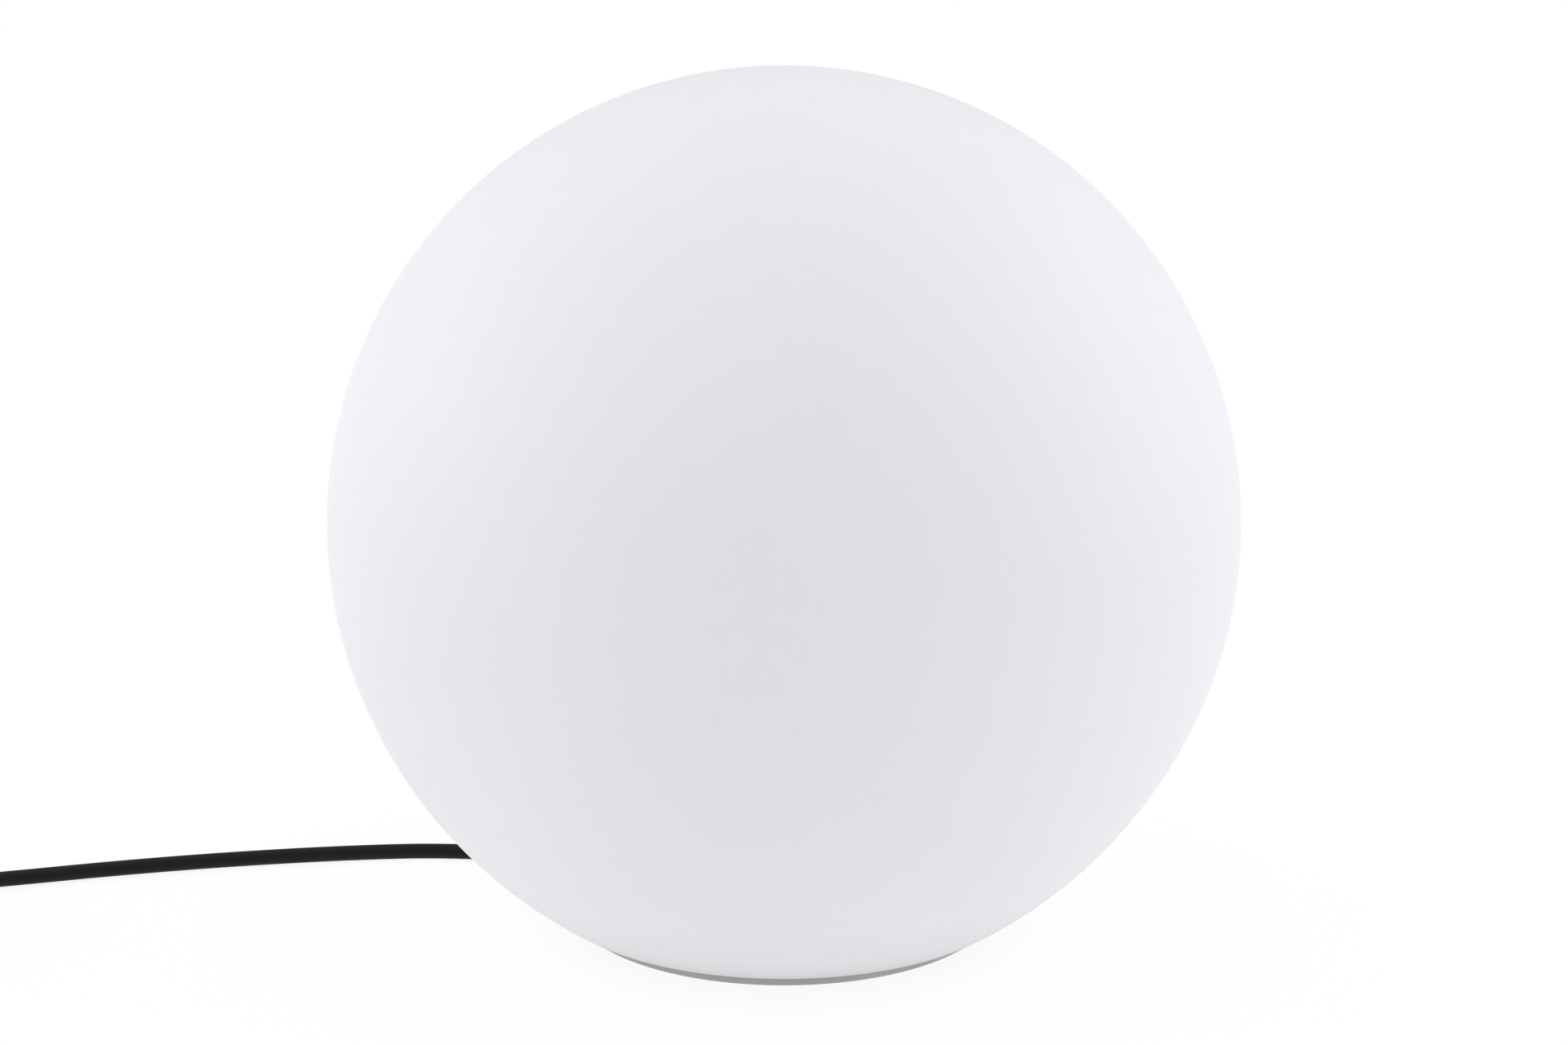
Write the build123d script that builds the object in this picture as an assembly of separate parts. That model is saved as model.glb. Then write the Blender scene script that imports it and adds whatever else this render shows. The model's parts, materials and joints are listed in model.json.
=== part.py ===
from build123d import *
import os
from math import cos, sin, radians, degrees, tan, sqrt, pi

# Outdoor globe floor lamp: a white moulded ball that stands on a low grey
# base, with a rubber mains lead.  Millimetres.  Origin on the floor under the
# middle of the ball, +Z up, the side that is looked at faces -Y.

os.makedirs("parts", exist_ok=True)

# ------------------------------------------------------------ driving sizes
# globe
GLOBE_R = 200.0          # ball radius (400 mm ball)
GLOBE_ZC = 180.0         # height of the ball's middle
WALL = 3.0               # moulded wall
FLARE_DEG = 20.0         # the lower part leaves the sphere this far under the equator
RIM_R = 106.3            # lower rim, outside
RIM_Z = 8.0              # lower rim above the floor
LIP_R = 99.5             # inside of the rim, where the recess for the base starts
FLANGE_Z = 20.1          # underside of the flange
MOUTH_R = 77.0           # mouth of the globe
COLLAR_Z = 30.0          # top of the collar round the mouth
# base
BASE_R = 95.8            # grey skirt
SKIRT_T = 3.0
SKIRT_Z0 = 0.5           # skirt ends just above the floor, the pads carry it
PLATE_Z0, PLATE_Z1 = 16.0, 20.0
HUB_R = 75.5
DECK_Z0, DECK_Z1 = 31.0, 34.0
BOX_HALF = 29.0          # sunken wiring box, outside half width
BOX_T = 3.0
BOX_Z0, BOX_FLOOR = 1.2, 3.0
SCREW_PCD_R = 86.3       # four screws that hold the globe
FOOT_PCD_R = 82.0
GROOVE_R0, GROOVE_R1, GROOVE_Z = 78.2, 81.2, 17.6
# direction of the lead, degrees from +X
EXIT_DEG = 155.0
# cable gland M16
GLAND_Z = 13.0
GLAND_AF = 19.0
GLAND_END = 53.0         # where the lead leaves the gland, from the middle
# lead
CORD_D = 7.0
CORD_Z = 3.55
# E27 holder and lamp
HOLDER_Z = 36.0
LAMP_Z = 59.7            # centre contact of the lamp
THREAD_LEAD = 3.63       # rise of the lamp for each turn
# coil of the length that is put away
COIL_R_MID = 42.0
COIL_HALF_W = 7.0
COIL_Z0 = 0.9
COIL_H = 21.0
COIL_TURN_R = 45.5       # outer turn
# plug
PIN_R, PIN_L, PIN_GAP = 2.4, 19.0, 19.0
PLUG_Z = 12.5

UP = (Align.CENTER, Align.CENTER, Align.MIN)
SPIN = Rot(0, 0, EXIT_DEG)        # local +X points along the lead's exit


# ------------------------------------------------------------ small helpers
def cyl(r, z0, z1, x=0.0, y=0.0):
    return Pos(x, y, z0) * Cylinder(r, z1 - z0, align=UP)


def ring(r0, r1, z0, z1, x=0.0, y=0.0):
    return cyl(r1, z0, z1, x, y) - cyl(r0, z0 - 1, z1 + 1, x, y)


def box(x0, x1, y0, y1, z0, z1):
    return Pos((x0 + x1) / 2, (y0 + y1) / 2, (z0 + z1) / 2) * Box(x1 - x0, y1 - y0, z1 - z0)


def rod(r, x0, x1, y, z):
    return Pos(x0, y, z) * Rot(0, 90, 0) * Cylinder(r, x1 - x0, align=UP)


def hex_rod(af, x0, x1, y, z):
    return Pos(x0, y, z) * Rot(0, 90, 0) * extrude(
        RegularPolygon(af / 2, 6, major_radius=False, rotation=30), x1 - x0)


def hex_nut(af, hole, z0, z1, x, y, turn=0.0):
    return Pos(x, y, z0) * extrude(
        RegularPolygon(af / 2, 6, major_radius=False, rotation=turn), z1 - z0) - cyl(hole, z0 - 1, z1 + 1, x, y)


def turned(points):
    """A solid of revolution about Z from a closed (r, z) outline."""
    return revolve(make_face(Plane.XZ * Polyline(*points, close=True)), axis=Axis.Z)


def turned_edges(edges):
    return revolve(make_face(Plane.XZ * (Curve() + edges)), axis=Axis.Z)


def polar(r, deg):
    return r * cos(radians(deg)), r * sin(radians(deg))


def tube(points, d, name=""):
    """Straight runs with the largest tangent arcs that the runs allow."""
    pts = [Vector(*p) for p in points]
    radii = []
    for a, b, c in zip(pts, pts[1:], pts[2:]):
        turn = radians((b - a).get_angle(c - b))
        radii.append(0.45 * min((b - a).length, (c - b).length) / tan(turn / 2))
    path = FilletPolyline(*pts, radius=radii)
    section = Plane(origin=path @ 0, z_dir=path % 0) * Circle(d / 2)
    solid = sweep(section, path=path)
    if name:
        print(name, "radii", [round(r, 1) for r in radii],
              "length %.1f" % path.length,
              "volume ratio %.4f" % (solid.volume / (pi * d * d / 4 * path.length)))
    return solid, path.length


def one(shape):
    """The largest solid of a cut."""
    return max(shape.solids(), key=lambda s: s.volume)


def save(name, shape):
    if isinstance(shape, (list, tuple)):
        solids = [s for item in shape for s in item.solids()]
    else:
        solids = list(shape.solids())
    out = solids[0] if len(solids) == 1 else Compound(children=solids)
    export_step(out, "parts/%s.step" % name)


# ------------------------------------------------------------ globe
a = radians(FLARE_DEG)
drop = GLOBE_ZC - RIM_Z
flare = (RIM_R ** 2 + drop ** 2 - GLOBE_R ** 2) / (
    2 * GLOBE_R - 2 * (RIM_R * cos(a) + drop * sin(a)))
FLARE_R = GLOBE_R + flare                     # radius of the lower arc
fc = (-flare * cos(a), GLOBE_ZC + flare * sin(a))


def on_sphere(rad, deg):
    return rad * cos(radians(deg)), GLOBE_ZC + rad * sin(radians(deg))


def on_flare(rad, z):
    return fc[0] + sqrt(rad ** 2 - (z - fc[1]) ** 2), z


Ri, Fi = GLOBE_R - WALL, FLARE_R - WALL
POCKET_Z = 11.6
flange_top = FLANGE_Z + WALL
outline = [
    ThreePointArc((0, GLOBE_ZC + GLOBE_R), on_sphere(GLOBE_R, 35), on_sphere(GLOBE_R, -FLARE_DEG)),
    ThreePointArc(on_sphere(GLOBE_R, -FLARE_DEG), on_flare(FLARE_R, 55.0), on_flare(FLARE_R, RIM_Z)),
    Polyline(on_flare(FLARE_R, RIM_Z), (LIP_R, RIM_Z), (LIP_R, FLANGE_Z), (MOUTH_R, FLANGE_Z),
             (MOUTH_R, COLLAR_Z), (MOUTH_R + WALL, COLLAR_Z), (MOUTH_R + WALL, flange_top),
             (LIP_R + WALL, flange_top), (LIP_R + WALL, POCKET_Z), on_flare(Fi, POCKET_Z)),
    ThreePointArc(on_flare(Fi, POCKET_Z), on_flare(Fi, 55.0), on_sphere(Ri, -FLARE_DEG)),
    ThreePointArc(on_sphere(Ri, -FLARE_DEG), on_sphere(Ri, 35), (0, GLOBE_ZC + Ri)),
    Line((0, GLOBE_ZC + Ri), (0, GLOBE_ZC + GLOBE_R)),
]
globe = turned_edges(outline)
globe = fillet(globe.edges().filter_by(GeomType.CIRCLE).filter_by(
    lambda e: abs(e.center().Z - RIM_Z) < 0.01), 1.3)
screw_at = [polar(SCREW_PCD_R, EXIT_DEG + 22.5 + 90 * i) for i in range(4)]
foot_at = [polar(FOOT_PCD_R, 45 + 90 * i) for i in range(4)]
for x, y in screw_at:
    globe -= cyl(2.6, FLANGE_Z - 1, flange_top + 1, x, y)
save("globe_shell", globe)

# clamp ring that spreads the screws' pull over the flange, and its nuts
RING_Z1 = flange_top + 2.5
clamp = ring(MOUTH_R + 5.0, 98.0, flange_top, RING_Z1)
for x, y in screw_at:
    clamp -= cyl(2.3, flange_top - 1, RING_Z1 + 1, x, y)
save("clamp_ring", clamp)
save("ring_nuts", [hex_nut(7.0, 2.25, RING_Z1, RING_Z1 + 3.2, x, y, EXIT_DEG + 22.5 + 90 * i)
                   for i, (x, y) in enumerate(screw_at)])

# ------------------------------------------------------------ base
tray = turned([(BASE_R, SKIRT_Z0 + 0.4), (BASE_R, PLATE_Z1 - 0.8), (BASE_R - 0.8, PLATE_Z1), (HUB_R, PLATE_Z1),
               (HUB_R, DECK_Z1 - 1.0), (HUB_R - 1.0, DECK_Z1), (0, DECK_Z1), (0, DECK_Z0),
               (HUB_R - 3, DECK_Z0), (HUB_R - 3, PLATE_Z0), (BASE_R - SKIRT_T, PLATE_Z0),
               (BASE_R - SKIRT_T, SKIRT_Z0), (BASE_R - 0.4, SKIRT_Z0)])
inner = BOX_HALF - BOX_T
tray += Pos(0, 0, BOX_Z0) * extrude(RectangleRounded(2 * BOX_HALF, 2 * BOX_HALF, 6), DECK_Z1 - 1 - BOX_Z0)
tray -= Pos(0, 0, BOX_FLOOR) * extrude(RectangleRounded(2 * inner, 2 * inner, 3), DECK_Z1 + 1 - BOX_FLOOR)
for x, y in foot_at:                       # bosses that hold the rubber pads
    tray += cyl(8.0, 2.4, PLATE_Z0 + 1, x, y)
    tray -= cyl(6.6, 0, 3.4, x, y)
for sx in (0, 1):                          # bosses for the bracket's screws
    y = 38.0 if sx else -38.0
    tray += cyl(5.0, 18.0, DECK_Z0 + 1, 0, y)
    tray -= cyl(2.0, 21.0, DECK_Z1 + 1, 0, y)
for i in (1, 2, 4, 5):                     # ribs under the deck, clear of the gland
    tray += Rot(0, 0, 60 * i) * box(36.0, HUB_R - 2, -1.0, 1.0, 24.0, DECK_Z0 + 1)
tray -= ring(GROOVE_R0, GROOVE_R1, GROOVE_Z, PLATE_Z1 + 1)
tray -= box(BASE_R - 8, BASE_R + 3, -4.8, 4.8, -1, 10.0)       # notch for the lead
tray -= rod(8.2, inner - 2, BOX_HALF + 2, 0, GLAND_Z)
tray += cyl(5.0, BOX_FLOOR - 0.5, 5.0, -6, 0) + cyl(1.5, BOX_FLOOR - 0.5, 11.0, -6, 0)   # seat and peg of the terminal block
for i in range(4):
    x, y = polar(SCREW_PCD_R, 22.5 + 90 * i)
    tray -= cyl(2.3, 0, PLATE_Z1 + 1, x, y)
save("base_tray", SPIN * tray)

save("foot_pads", [SPIN * cyl(6.5, 0.0, 3.4, x, y) for x, y in foot_at])
save("base_gasket", ring(GROOVE_R0 + 0.1, GROOVE_R1 - 0.1, GROOVE_Z, PLATE_Z1))

screws, washers = [], []
for x, y in screw_at:
    s = cyl(4.0, PLATE_Z0 - 3.4, PLATE_Z0 - 0.8, x, y) + cyl(1.95, PLATE_Z0 - 0.8, RING_Z1 + 5.0, x, y)
    s -= box(x - 2.4, x + 2.4, y - 0.45, y + 0.45, PLATE_Z0 - 4, PLATE_Z0 - 2.1) \
        + box(x - 0.45, x + 0.45, y - 2.4, y + 2.4, PLATE_Z0 - 4, PLATE_Z0 - 2.1)
    screws.append(s)
    washers.append(ring(2.2, 4.4, PLATE_Z0 - 0.8, PLATE_Z0, x, y))
save("base_screws", screws)
save("base_washers", washers)

# ------------------------------------------------------------ cable gland and mains wiring
g = GLAND_Z
save("gland_seal", SPIN * (rod(9.4, BOX_HALF, BOX_HALF + 1.2, 0, g) - rod(8.2, 20, 40, 0, g)))
body = hex_rod(GLAND_AF, 30.2, 34.7, 0, g) + rod(7.95, 19.0, 30.2, 0, g) + rod(7.2, 34.7, 44.0, 0, g)
body -= rod(4.0, 10, 60, 0, g) + rod(5.9, 36.0, 50, 0, g)
save("gland_body", SPIN * body)
save("gland_insert", SPIN * (rod(5.8, 36.1, 45.6, 0, g) - rod(3.55, 30, 60, 0, g)))
cap = hex_rod(GLAND_AF, 35.0, 45.0, 0, g)
cap += Pos(45.0, 0, g) * Rot(0, 90, 0) * Cone(9.2, 6.0, GLAND_END - 45.0, align=UP)
cap -= rod(7.3, 30, 44.3, 0, g) + rod(6.0, 40, 46.0, 0, g) + rod(4.0, 40, 60, 0, g)
save("gland_cap", SPIN * cap)
save("gland_locknut", SPIN * (hex_rod(GLAND_AF, 21.4, inner, 0, g) - rod(8.0, 10, 30, 0, g)))
save("cord_tail", SPIN * rod(CORD_D / 2, 15.0, GLAND_END, 0, g))

for name, s in (("core_live", 1), ("core_neutral", -1)):
    core, _ = tube([(15.0, 1.7 * s, 13.0), (11.5, 1.7 * s, 13.0), (6.5, 4.3 * s, 10.0), (-3.0, 4.3 * s, 10.0)], 2.4)
    save(name, SPIN * core)

block = box(-16, 4, -9, 9, 5, 17.2)
block = fillet(block.edges().filter_by(Axis.Z), 1.5)
pins, tubes = [], []
for s in (1, -1):
    block -= rod(2.65, -20, 8, 4.3 * s, 10.0)
    sleeve = rod(2.6, -14.5, 2.5, 4.3 * s, 10.0) - rod(1.75, -20, 8, 4.3 * s, 10.0)
    for x in (-11.0, -1.5):
        block -= cyl(1.9, 10.0, 18, x, 4.3 * s)
        sleeve -= cyl(1.5, 10.0, 18, x, 4.3 * s)
        p = cyl(1.4, 11.3, 16.4, x, 4.3 * s)
        p -= box(x - 2, x + 2, 4.3 * s - 0.3, 4.3 * s + 0.3, 15.4, 17)
        pins.append(SPIN * p)
    tubes.append(SPIN * sleeve)
block -= cyl(1.6, 4, 12.0, -6, 0)
save("terminal_block", SPIN * block)
save("terminal_sleeves", tubes)
save("terminal_screws", pins)

# ------------------------------------------------------------ lampholder
bracket = extrude(SlotOverall(92, 20, rotation=90), 2.0) + cyl(24.0, 0, 2.0)
bracket -= cyl(12.5, -1, 3)
for y in (38.0, -38.0):
    bracket -= cyl(2.3, -1, 3, 0, y)
for x in (17.5, -17.5):
    bracket -= cyl(2.2, -1, 3, x, 0)
save("holder_bracket", SPIN * Pos(0, 0, DECK_Z1) * bracket)


def pan_screw(x, y, z_seat, head_r, head_h, shank_r, length, flip=1):
    """Pan head on the seat, shank the other way; flip -1 turns the head down."""
    head = cyl(head_r, 0, head_h) - box(-head_r * 0.6, head_r * 0.6, -0.45, 0.45, head_h - 1.2, head_h + 1) \
        - box(-0.45, 0.45, -head_r * 0.6, head_r * 0.6, head_h - 1.2, head_h + 1)
    s = head + cyl(shank_r, -length, 0)
    return Pos(x, y, z_seat) * (s if flip > 0 else Rot(180, 0, 0) * s)


save("bracket_screws", [SPIN * pan_screw(0, y, DECK_Z1 + 2, 4.0, 2.6, 1.9, 12.0) for y in (38.0, -38.0)])
save("holder_screws", [SPIN * pan_screw(x, 0, DECK_Z1, 3.5, 2.4, 1.9, 10.0, -1) for x in (17.5, -17.5)])

h = HOLDER_Z
porcelain = turned([(13.0, h), (22.5, h), (22.5, h + 26), (20.5, h + 29), (20.5, h + 53), (19.5, h + 54),
                    (15.2, h + 54), (15.2, h + 20), (0, h + 20), (0, h + 14), (13.0, h + 14)])
for x in (-6.0, 11.0):
    porcelain -= cyl(1.6, h + 10, h + 24, x, 0)
for x in (17.5, -17.5):
    porcelain -= cyl(2.0, h - 1, h + 11, x, 0)
save("lampholder_body", SPIN * porcelain)
save("lampholder_shell", turned([(10.0, h + 20), (15.0, h + 20), (15.0, h + 52), (13.7, h + 52),
                                 (13.7, h + 21), (10.0, h + 21)]))
tongue = extrude(Plane.XZ * make_face(Polyline((-8.5, h + 20), (-3.5, h + 20), (2.0, h + 22.9), (6.0, h + 22.9),
                                               (6.0, h + 23.5), (1.7, h + 23.5), (-3.8, h + 20.7),
                                               (-8.5, h + 20.7), close=True)), 3.0, both=True)
save("lampholder_contact", SPIN * tongue)
t1 = box(-9, -3, -3.5, 3.5, h + 6, h + 13.8) + cyl(1.5, h + 13.8, h + 20, -6, 0)
t2 = box(6, 12, -3.5, 3.5, h + 6, h + 13.8) + cyl(1.5, h + 13.8, h + 20, 11, 0)
save("lampholder_terminals", [SPIN * t1, SPIN * t2])
w1, _ = tube([(-8.0, 4.3, 10.0), (-17.0, 4.3, 10.0), (-22.0, 4.3, 13.5), (-21.0, 4.0, 21.5),
              (-13.0, 2.2, 28.0), (-6.0, 0.0, 34.0), (-6.0, 0.0, h + 6)], 2.2)
w2, _ = tube([(-8.0, -4.3, 10.0), (-17.0, -4.3, 10.0), (-22.0, -4.3, 13.5), (-19.5, -4.6, 21.5),
              (-9.0, -4.9, 25.0), (2.0, -3.6, 27.0), (9.0, 0.0, 33.0), (9.0, 0.0, h + 6)], 2.2)
save("wire_live", SPIN * w1)
save("wire_neutral", SPIN * w2)

# ------------------------------------------------------------ lamp, E27, 60 mm bulb
z = LAMP_Z
save("bulb_contact", turned([(0, z), (3.5, z), (4.5, z + 0.9), (4.5, z + 1.5), (0, z + 1.5)]))
save("bulb_insulator", turned([(0, z + 1.5), (5.0, z + 1.5), (11.6, z + 4.5), (11.6, z + 5.1), (0, z + 5.1)]))
CAP_R = 13.0
save("bulb_cap", turned([(0, z + 5.1), (12.2, z + 5.1), (CAP_R, z + 5.9), (CAP_R, z + 26.3), (12.3, z + 26.3),
                         (12.3, z + 5.9), (0, z + 5.9)]))
b = z + 26.3
JOIN_Z = 128.0
save("bulb_housing", turned([(12.2, b - 18), (12.2, b), (13.5, b), (14.0, b + 5), (15.8, b + 12), (19.0, b + 20),
                             (23.0, b + 29), (26.2, b + 37), (27.5, JOIN_Z - 2), (27.5, JOIN_Z),
                             (26.0, JOIN_Z), (26.0, JOIN_Z - 3.5), (23.6, JOIN_Z - 3.5), (21.4, b + 29),
                             (17.4, b + 20), (14.2, b + 12), (12.3, b + 5), (11.0, b), (11.0, b - 18)]))
save("bulb_led_plate", cyl(25.8, JOIN_Z - 3.5, JOIN_Z - 1.9))
leds = []
for n, r in ((12, 18.0), (6, 9.0)):
    for i in range(n):
        leds.append(Rot(0, 0, 360 / n * i) * box(r - 1.75, r + 1.75, -1.4, 1.4, JOIN_Z - 1.9, JOIN_Z - 1.2))
save("bulb_leds", leds)
save("bulb_driver_board", box(-0.8, 0.8, -8.0, 8.0, b - 14, b + 30))
DOME_R = 30.0
DOME_ZC = 140.0
d0 = JOIN_Z + 0.1
ro, ri = sqrt(DOME_R ** 2 - (d0 - DOME_ZC) ** 2), sqrt((DOME_R - 1.5) ** 2 - (d0 - DOME_ZC) ** 2)
dome = turned_edges([
    ThreePointArc((ro, d0), (DOME_R * cos(radians(25)), DOME_ZC + DOME_R * sin(radians(25))), (0, DOME_ZC + DOME_R)),
    Line((0, DOME_ZC + DOME_R), (0, DOME_ZC + DOME_R - 1.5)),
    ThreePointArc((0, DOME_ZC + DOME_R - 1.5),
                  ((DOME_R - 1.5) * cos(radians(25)), DOME_ZC + (DOME_R - 1.5) * sin(radians(25))), (ri, d0)),
    Line((ri, d0), (ro, d0))])
save("bulb_dome", dome)

# ------------------------------------------------------------ lead, coil, plug
ux, uy = polar(1.0, EXIT_DEG)
LEAD = [(GLAND_END * ux, GLAND_END * uy, GLAND_Z),
        (66.0 * ux, 66.0 * uy, GLAND_Z),
        (92.0 * ux, 92.0 * uy, CORD_Z + 0.05),
        (-113.3, 52.6, CORD_Z),
        (-160.0, 59.2, CORD_Z),
        (-205.0, 55.6, CORD_Z),
        (-255.0, 47.8, CORD_Z),
        (-305.0, 36.8, CORD_Z),
        (-352.0, 23.6, CORD_Z),
        (-389.0, 12.7, CORD_Z + 0.4),
        (-423.0, 2.2, COIL_Z0 + CORD_D / 2)]
p, q = Vector(*LEAD[-2]), Vector(*LEAD[-1])
way = Vector(q.X - p.X, q.Y - p.Y, 0).normalized()
COIL_C = (q.X - COIL_TURN_R * way.Y, q.Y + COIL_TURN_R * way.X)     # the lead joins the outer turn, anticlockwise
print("coil centre", [round(c, 2) for c in COIL_C], "joins at", [round(c, 2) for c in LEAD[-1]])
coil = turned([(COIL_R_MID - COIL_HALF_W, COIL_Z0 + 2.5), (COIL_R_MID - COIL_HALF_W + 2.5, COIL_Z0),
               (COIL_R_MID + COIL_HALF_W - 2.5, COIL_Z0), (COIL_R_MID + COIL_HALF_W, COIL_Z0 + 2.5),
               (COIL_R_MID + COIL_HALF_W, COIL_Z0 + COIL_H - 2.5), (COIL_R_MID + COIL_HALF_W - 2.5, COIL_Z0 + COIL_H),
               (COIL_R_MID - COIL_HALF_W + 2.5, COIL_Z0 + COIL_H), (COIL_R_MID - COIL_HALF_W, COIL_Z0 + COIL_H - 2.5)])
coil = Pos(COIL_C[0], COIL_C[1], 0) * coil
save("cord_coil", coil)
lead, lead_len = tube(LEAD, CORD_D, "cord_lead")
save("cord_lead", one(lead - coil))

TOP_Z = COIL_Z0 + COIL_H - CORD_D / 2
PLUG_X = COIL_C[0] - COIL_TURN_R - 2.0
PLUG_Y0 = COIL_C[1] - 64.0                # where the plug's sleeve starts
PLUG_LEAD = [(COIL_C[0] - COIL_TURN_R, COIL_C[1], TOP_Z),
             (COIL_C[0] - COIL_TURN_R, COIL_C[1] - 21.0, TOP_Z - 0.3),
             (PLUG_X, COIL_C[1] - 43.0, PLUG_Z),
             (PLUG_X, PLUG_Y0, PLUG_Z)]
end, end_len = tube(PLUG_LEAD, CORD_D, "plug_lead")
save("plug_lead", one(end - coil))
print("lead %.0f + end %.0f, coil turn %.0f each" % (lead_len, end_len, 2 * pi * COIL_R_MID))

tie = box(33.4, 50.0, -6, 6, 0.05, COIL_Z0 + COIL_H + 0.95) - box(34.3, 49.15, -7, 7, 0.85, COIL_Z0 + COIL_H + 0.15)
save("coil_tie", Pos(COIL_C[0], COIL_C[1], 0) * Rot(0, 0, 40) * tie)

# the plug is made along +Z, then laid down with its pins towards -Y
lay = Pos(PLUG_X, PLUG_Y0, PLUG_Z) * Rot(90, 0, 0)
save("plug_sleeve", lay * turned([(0, 0), (4.6, 0), (6.6, 27), (7.0, 28), (0, 28)]))
shell = turned([(0, 28), (7.4, 28), (9.2, 32), (13.5, 40), (17.6, 49), (18.5, 54), (18.5, 65), (17.5, 67), (0, 67)])
shell &= box(-30, 30, -PLUG_Z, PLUG_Z, 0, 100)
save("plug_body", lay * shell)
pins = []
for s in (-1, 1):
    pins.append(lay * (Pos(s * PIN_GAP / 2, 0, 0) * turned(
        [(0, 67), (PIN_R, 67), (PIN_R, 67 + PIN_L - 1.4), (1.2, 67 + PIN_L), (0, 67 + PIN_L)])))
save("plug_pins", pins)
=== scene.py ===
import json
import math
from math import cos, sin, pi, radians, degrees, sqrt, atan2

import bmesh
import bpy
from mathutils import Matrix, Vector


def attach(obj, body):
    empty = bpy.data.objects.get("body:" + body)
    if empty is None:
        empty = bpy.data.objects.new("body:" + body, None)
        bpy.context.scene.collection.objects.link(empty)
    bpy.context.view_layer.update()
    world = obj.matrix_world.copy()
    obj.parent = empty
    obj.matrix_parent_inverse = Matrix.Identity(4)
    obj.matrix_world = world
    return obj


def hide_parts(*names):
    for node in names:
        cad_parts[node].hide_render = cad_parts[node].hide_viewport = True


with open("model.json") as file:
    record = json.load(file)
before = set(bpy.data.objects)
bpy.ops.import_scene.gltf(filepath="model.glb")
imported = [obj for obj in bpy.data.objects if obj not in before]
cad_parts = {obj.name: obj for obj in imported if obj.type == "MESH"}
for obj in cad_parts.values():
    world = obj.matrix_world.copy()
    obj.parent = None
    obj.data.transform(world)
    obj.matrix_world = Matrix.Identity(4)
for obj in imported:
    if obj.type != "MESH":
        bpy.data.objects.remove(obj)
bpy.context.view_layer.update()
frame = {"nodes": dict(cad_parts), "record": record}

scene = bpy.context.scene
NODES = frame["nodes"]
MM = 0.001

# ---------------------------------------------------------------- sizes, mm, as the construction has them
GLOBE_R, GLOBE_ZC, WALL, FLARE_DEG = 200.0, 180.0, 3.0, 20.0
RIM_R, RIM_Z, LIP_R, FLANGE_Z, MOUTH_R, COLLAR_Z, POCKET_Z = 106.3, 8.0, 99.5, 20.1, 77.0, 30.0, 11.6
BASE_R, BASE_Z0 = 95.8, 0.5
EXIT_DEG = 155.0
SCREW_R, FOOT_R = 86.3, 82.0
HOLDER_Z, LAMP_Z, JOIN_Z = 36.0, 59.7, 128.0
DOME_R, DOME_ZC = 30.0, 140.0
THREAD_LEAD = 3.63
CORD_D, CORD_Z, GLAND_END, GLAND_Z = 7.0, 3.55, 53.0, 13.0
COIL_Z0, COIL_H = 0.9, 21.0
PLUG_Z = 12.5


# ---------------------------------------------------------------- mesh helpers
def put(name, mesh):
    obj = bpy.data.objects.new(name, mesh)
    scene.collection.objects.link(obj)
    return obj


def from_bm(name, bm, sharp=32.0):
    bmesh.ops.recalc_face_normals(bm, faces=bm.faces[:])
    me = bpy.data.meshes.new(name)
    bm.to_mesh(me)
    bm.free()
    me.shade_smooth()
    me.set_sharp_from_angle(angle=radians(sharp))
    return put(name, me)


def fillet_outline(points, closed, n=6):
    """Outline (r, z[, fillet radius]) with its corners rounded by arcs."""
    out = []
    m = len(points)
    for i, p in enumerate(points):
        rad = p[2] if len(p) > 2 else 0.0
        if rad <= 0 or (not closed and i in (0, m - 1)):
            out.append((p[0], p[1]))
            continue
        a, b, c = Vector(points[i - 1][:2]), Vector(p[:2]), Vector(points[(i + 1) % m][:2])
        u, v = (a - b), (c - b)
        room = 0.48 * min(u.length, v.length)
        u.normalize()
        v.normalize()
        half = math.acos(max(-1.0, min(1.0, u.dot(v)))) / 2
        if half > radians(89.0):
            out.append((p[0], p[1]))
            continue
        t = min(rad / math.tan(half), room)
        r = t * math.tan(half)
        mid = b + (u + v).normalized() * (r / sin(half))
        s, e = b + u * t - mid, b + v * t - mid
        a0 = atan2(s.y, s.x)
        turn = (atan2(e.y, e.x) - a0 + pi) % (2 * pi) - pi
        for k in range(n + 1):
            w = a0 + turn * k / n
            out.append((mid.x + r * cos(w), mid.y + r * sin(w)))
    return out


def lathe_bm(outline, seg=96, closed=True):
    bm = bmesh.new()
    rings = []
    for r, z in outline:
        if r < 1e-6:
            rings.append([bm.verts.new((0, 0, z * MM))])
        else:
            rings.append([bm.verts.new((r * MM * cos(2 * pi * k / seg), r * MM * sin(2 * pi * k / seg), z * MM))
                          for k in range(seg)])
    todo = list(zip(rings, rings[1:]))
    if closed:
        todo.append((rings[-1], rings[0]))
    for a, b in todo:
        for k in range(seg):
            j = (k + 1) % seg
            if len(a) == 1 and len(b) == 1:
                continue
            if len(a) == 1:
                bm.faces.new((a[0], b[k], b[j]))
            elif len(b) == 1:
                bm.faces.new((a[k], b[0], a[j]))
            else:
                bm.faces.new((a[k], b[k], b[j], a[j]))
    return bm


def lathe(name, outline, seg=96, closed=True, sharp=32.0):
    return from_bm(name, lathe_bm(outline, seg, closed), sharp)


def arc_pts(cx, cz, rad, d0, d1, n):
    return [(cx + rad * cos(radians(d0 + (d1 - d0) * k / n)), cz + rad * sin(radians(d0 + (d1 - d0) * k / n)))
            for k in range(n + 1)]


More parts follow.
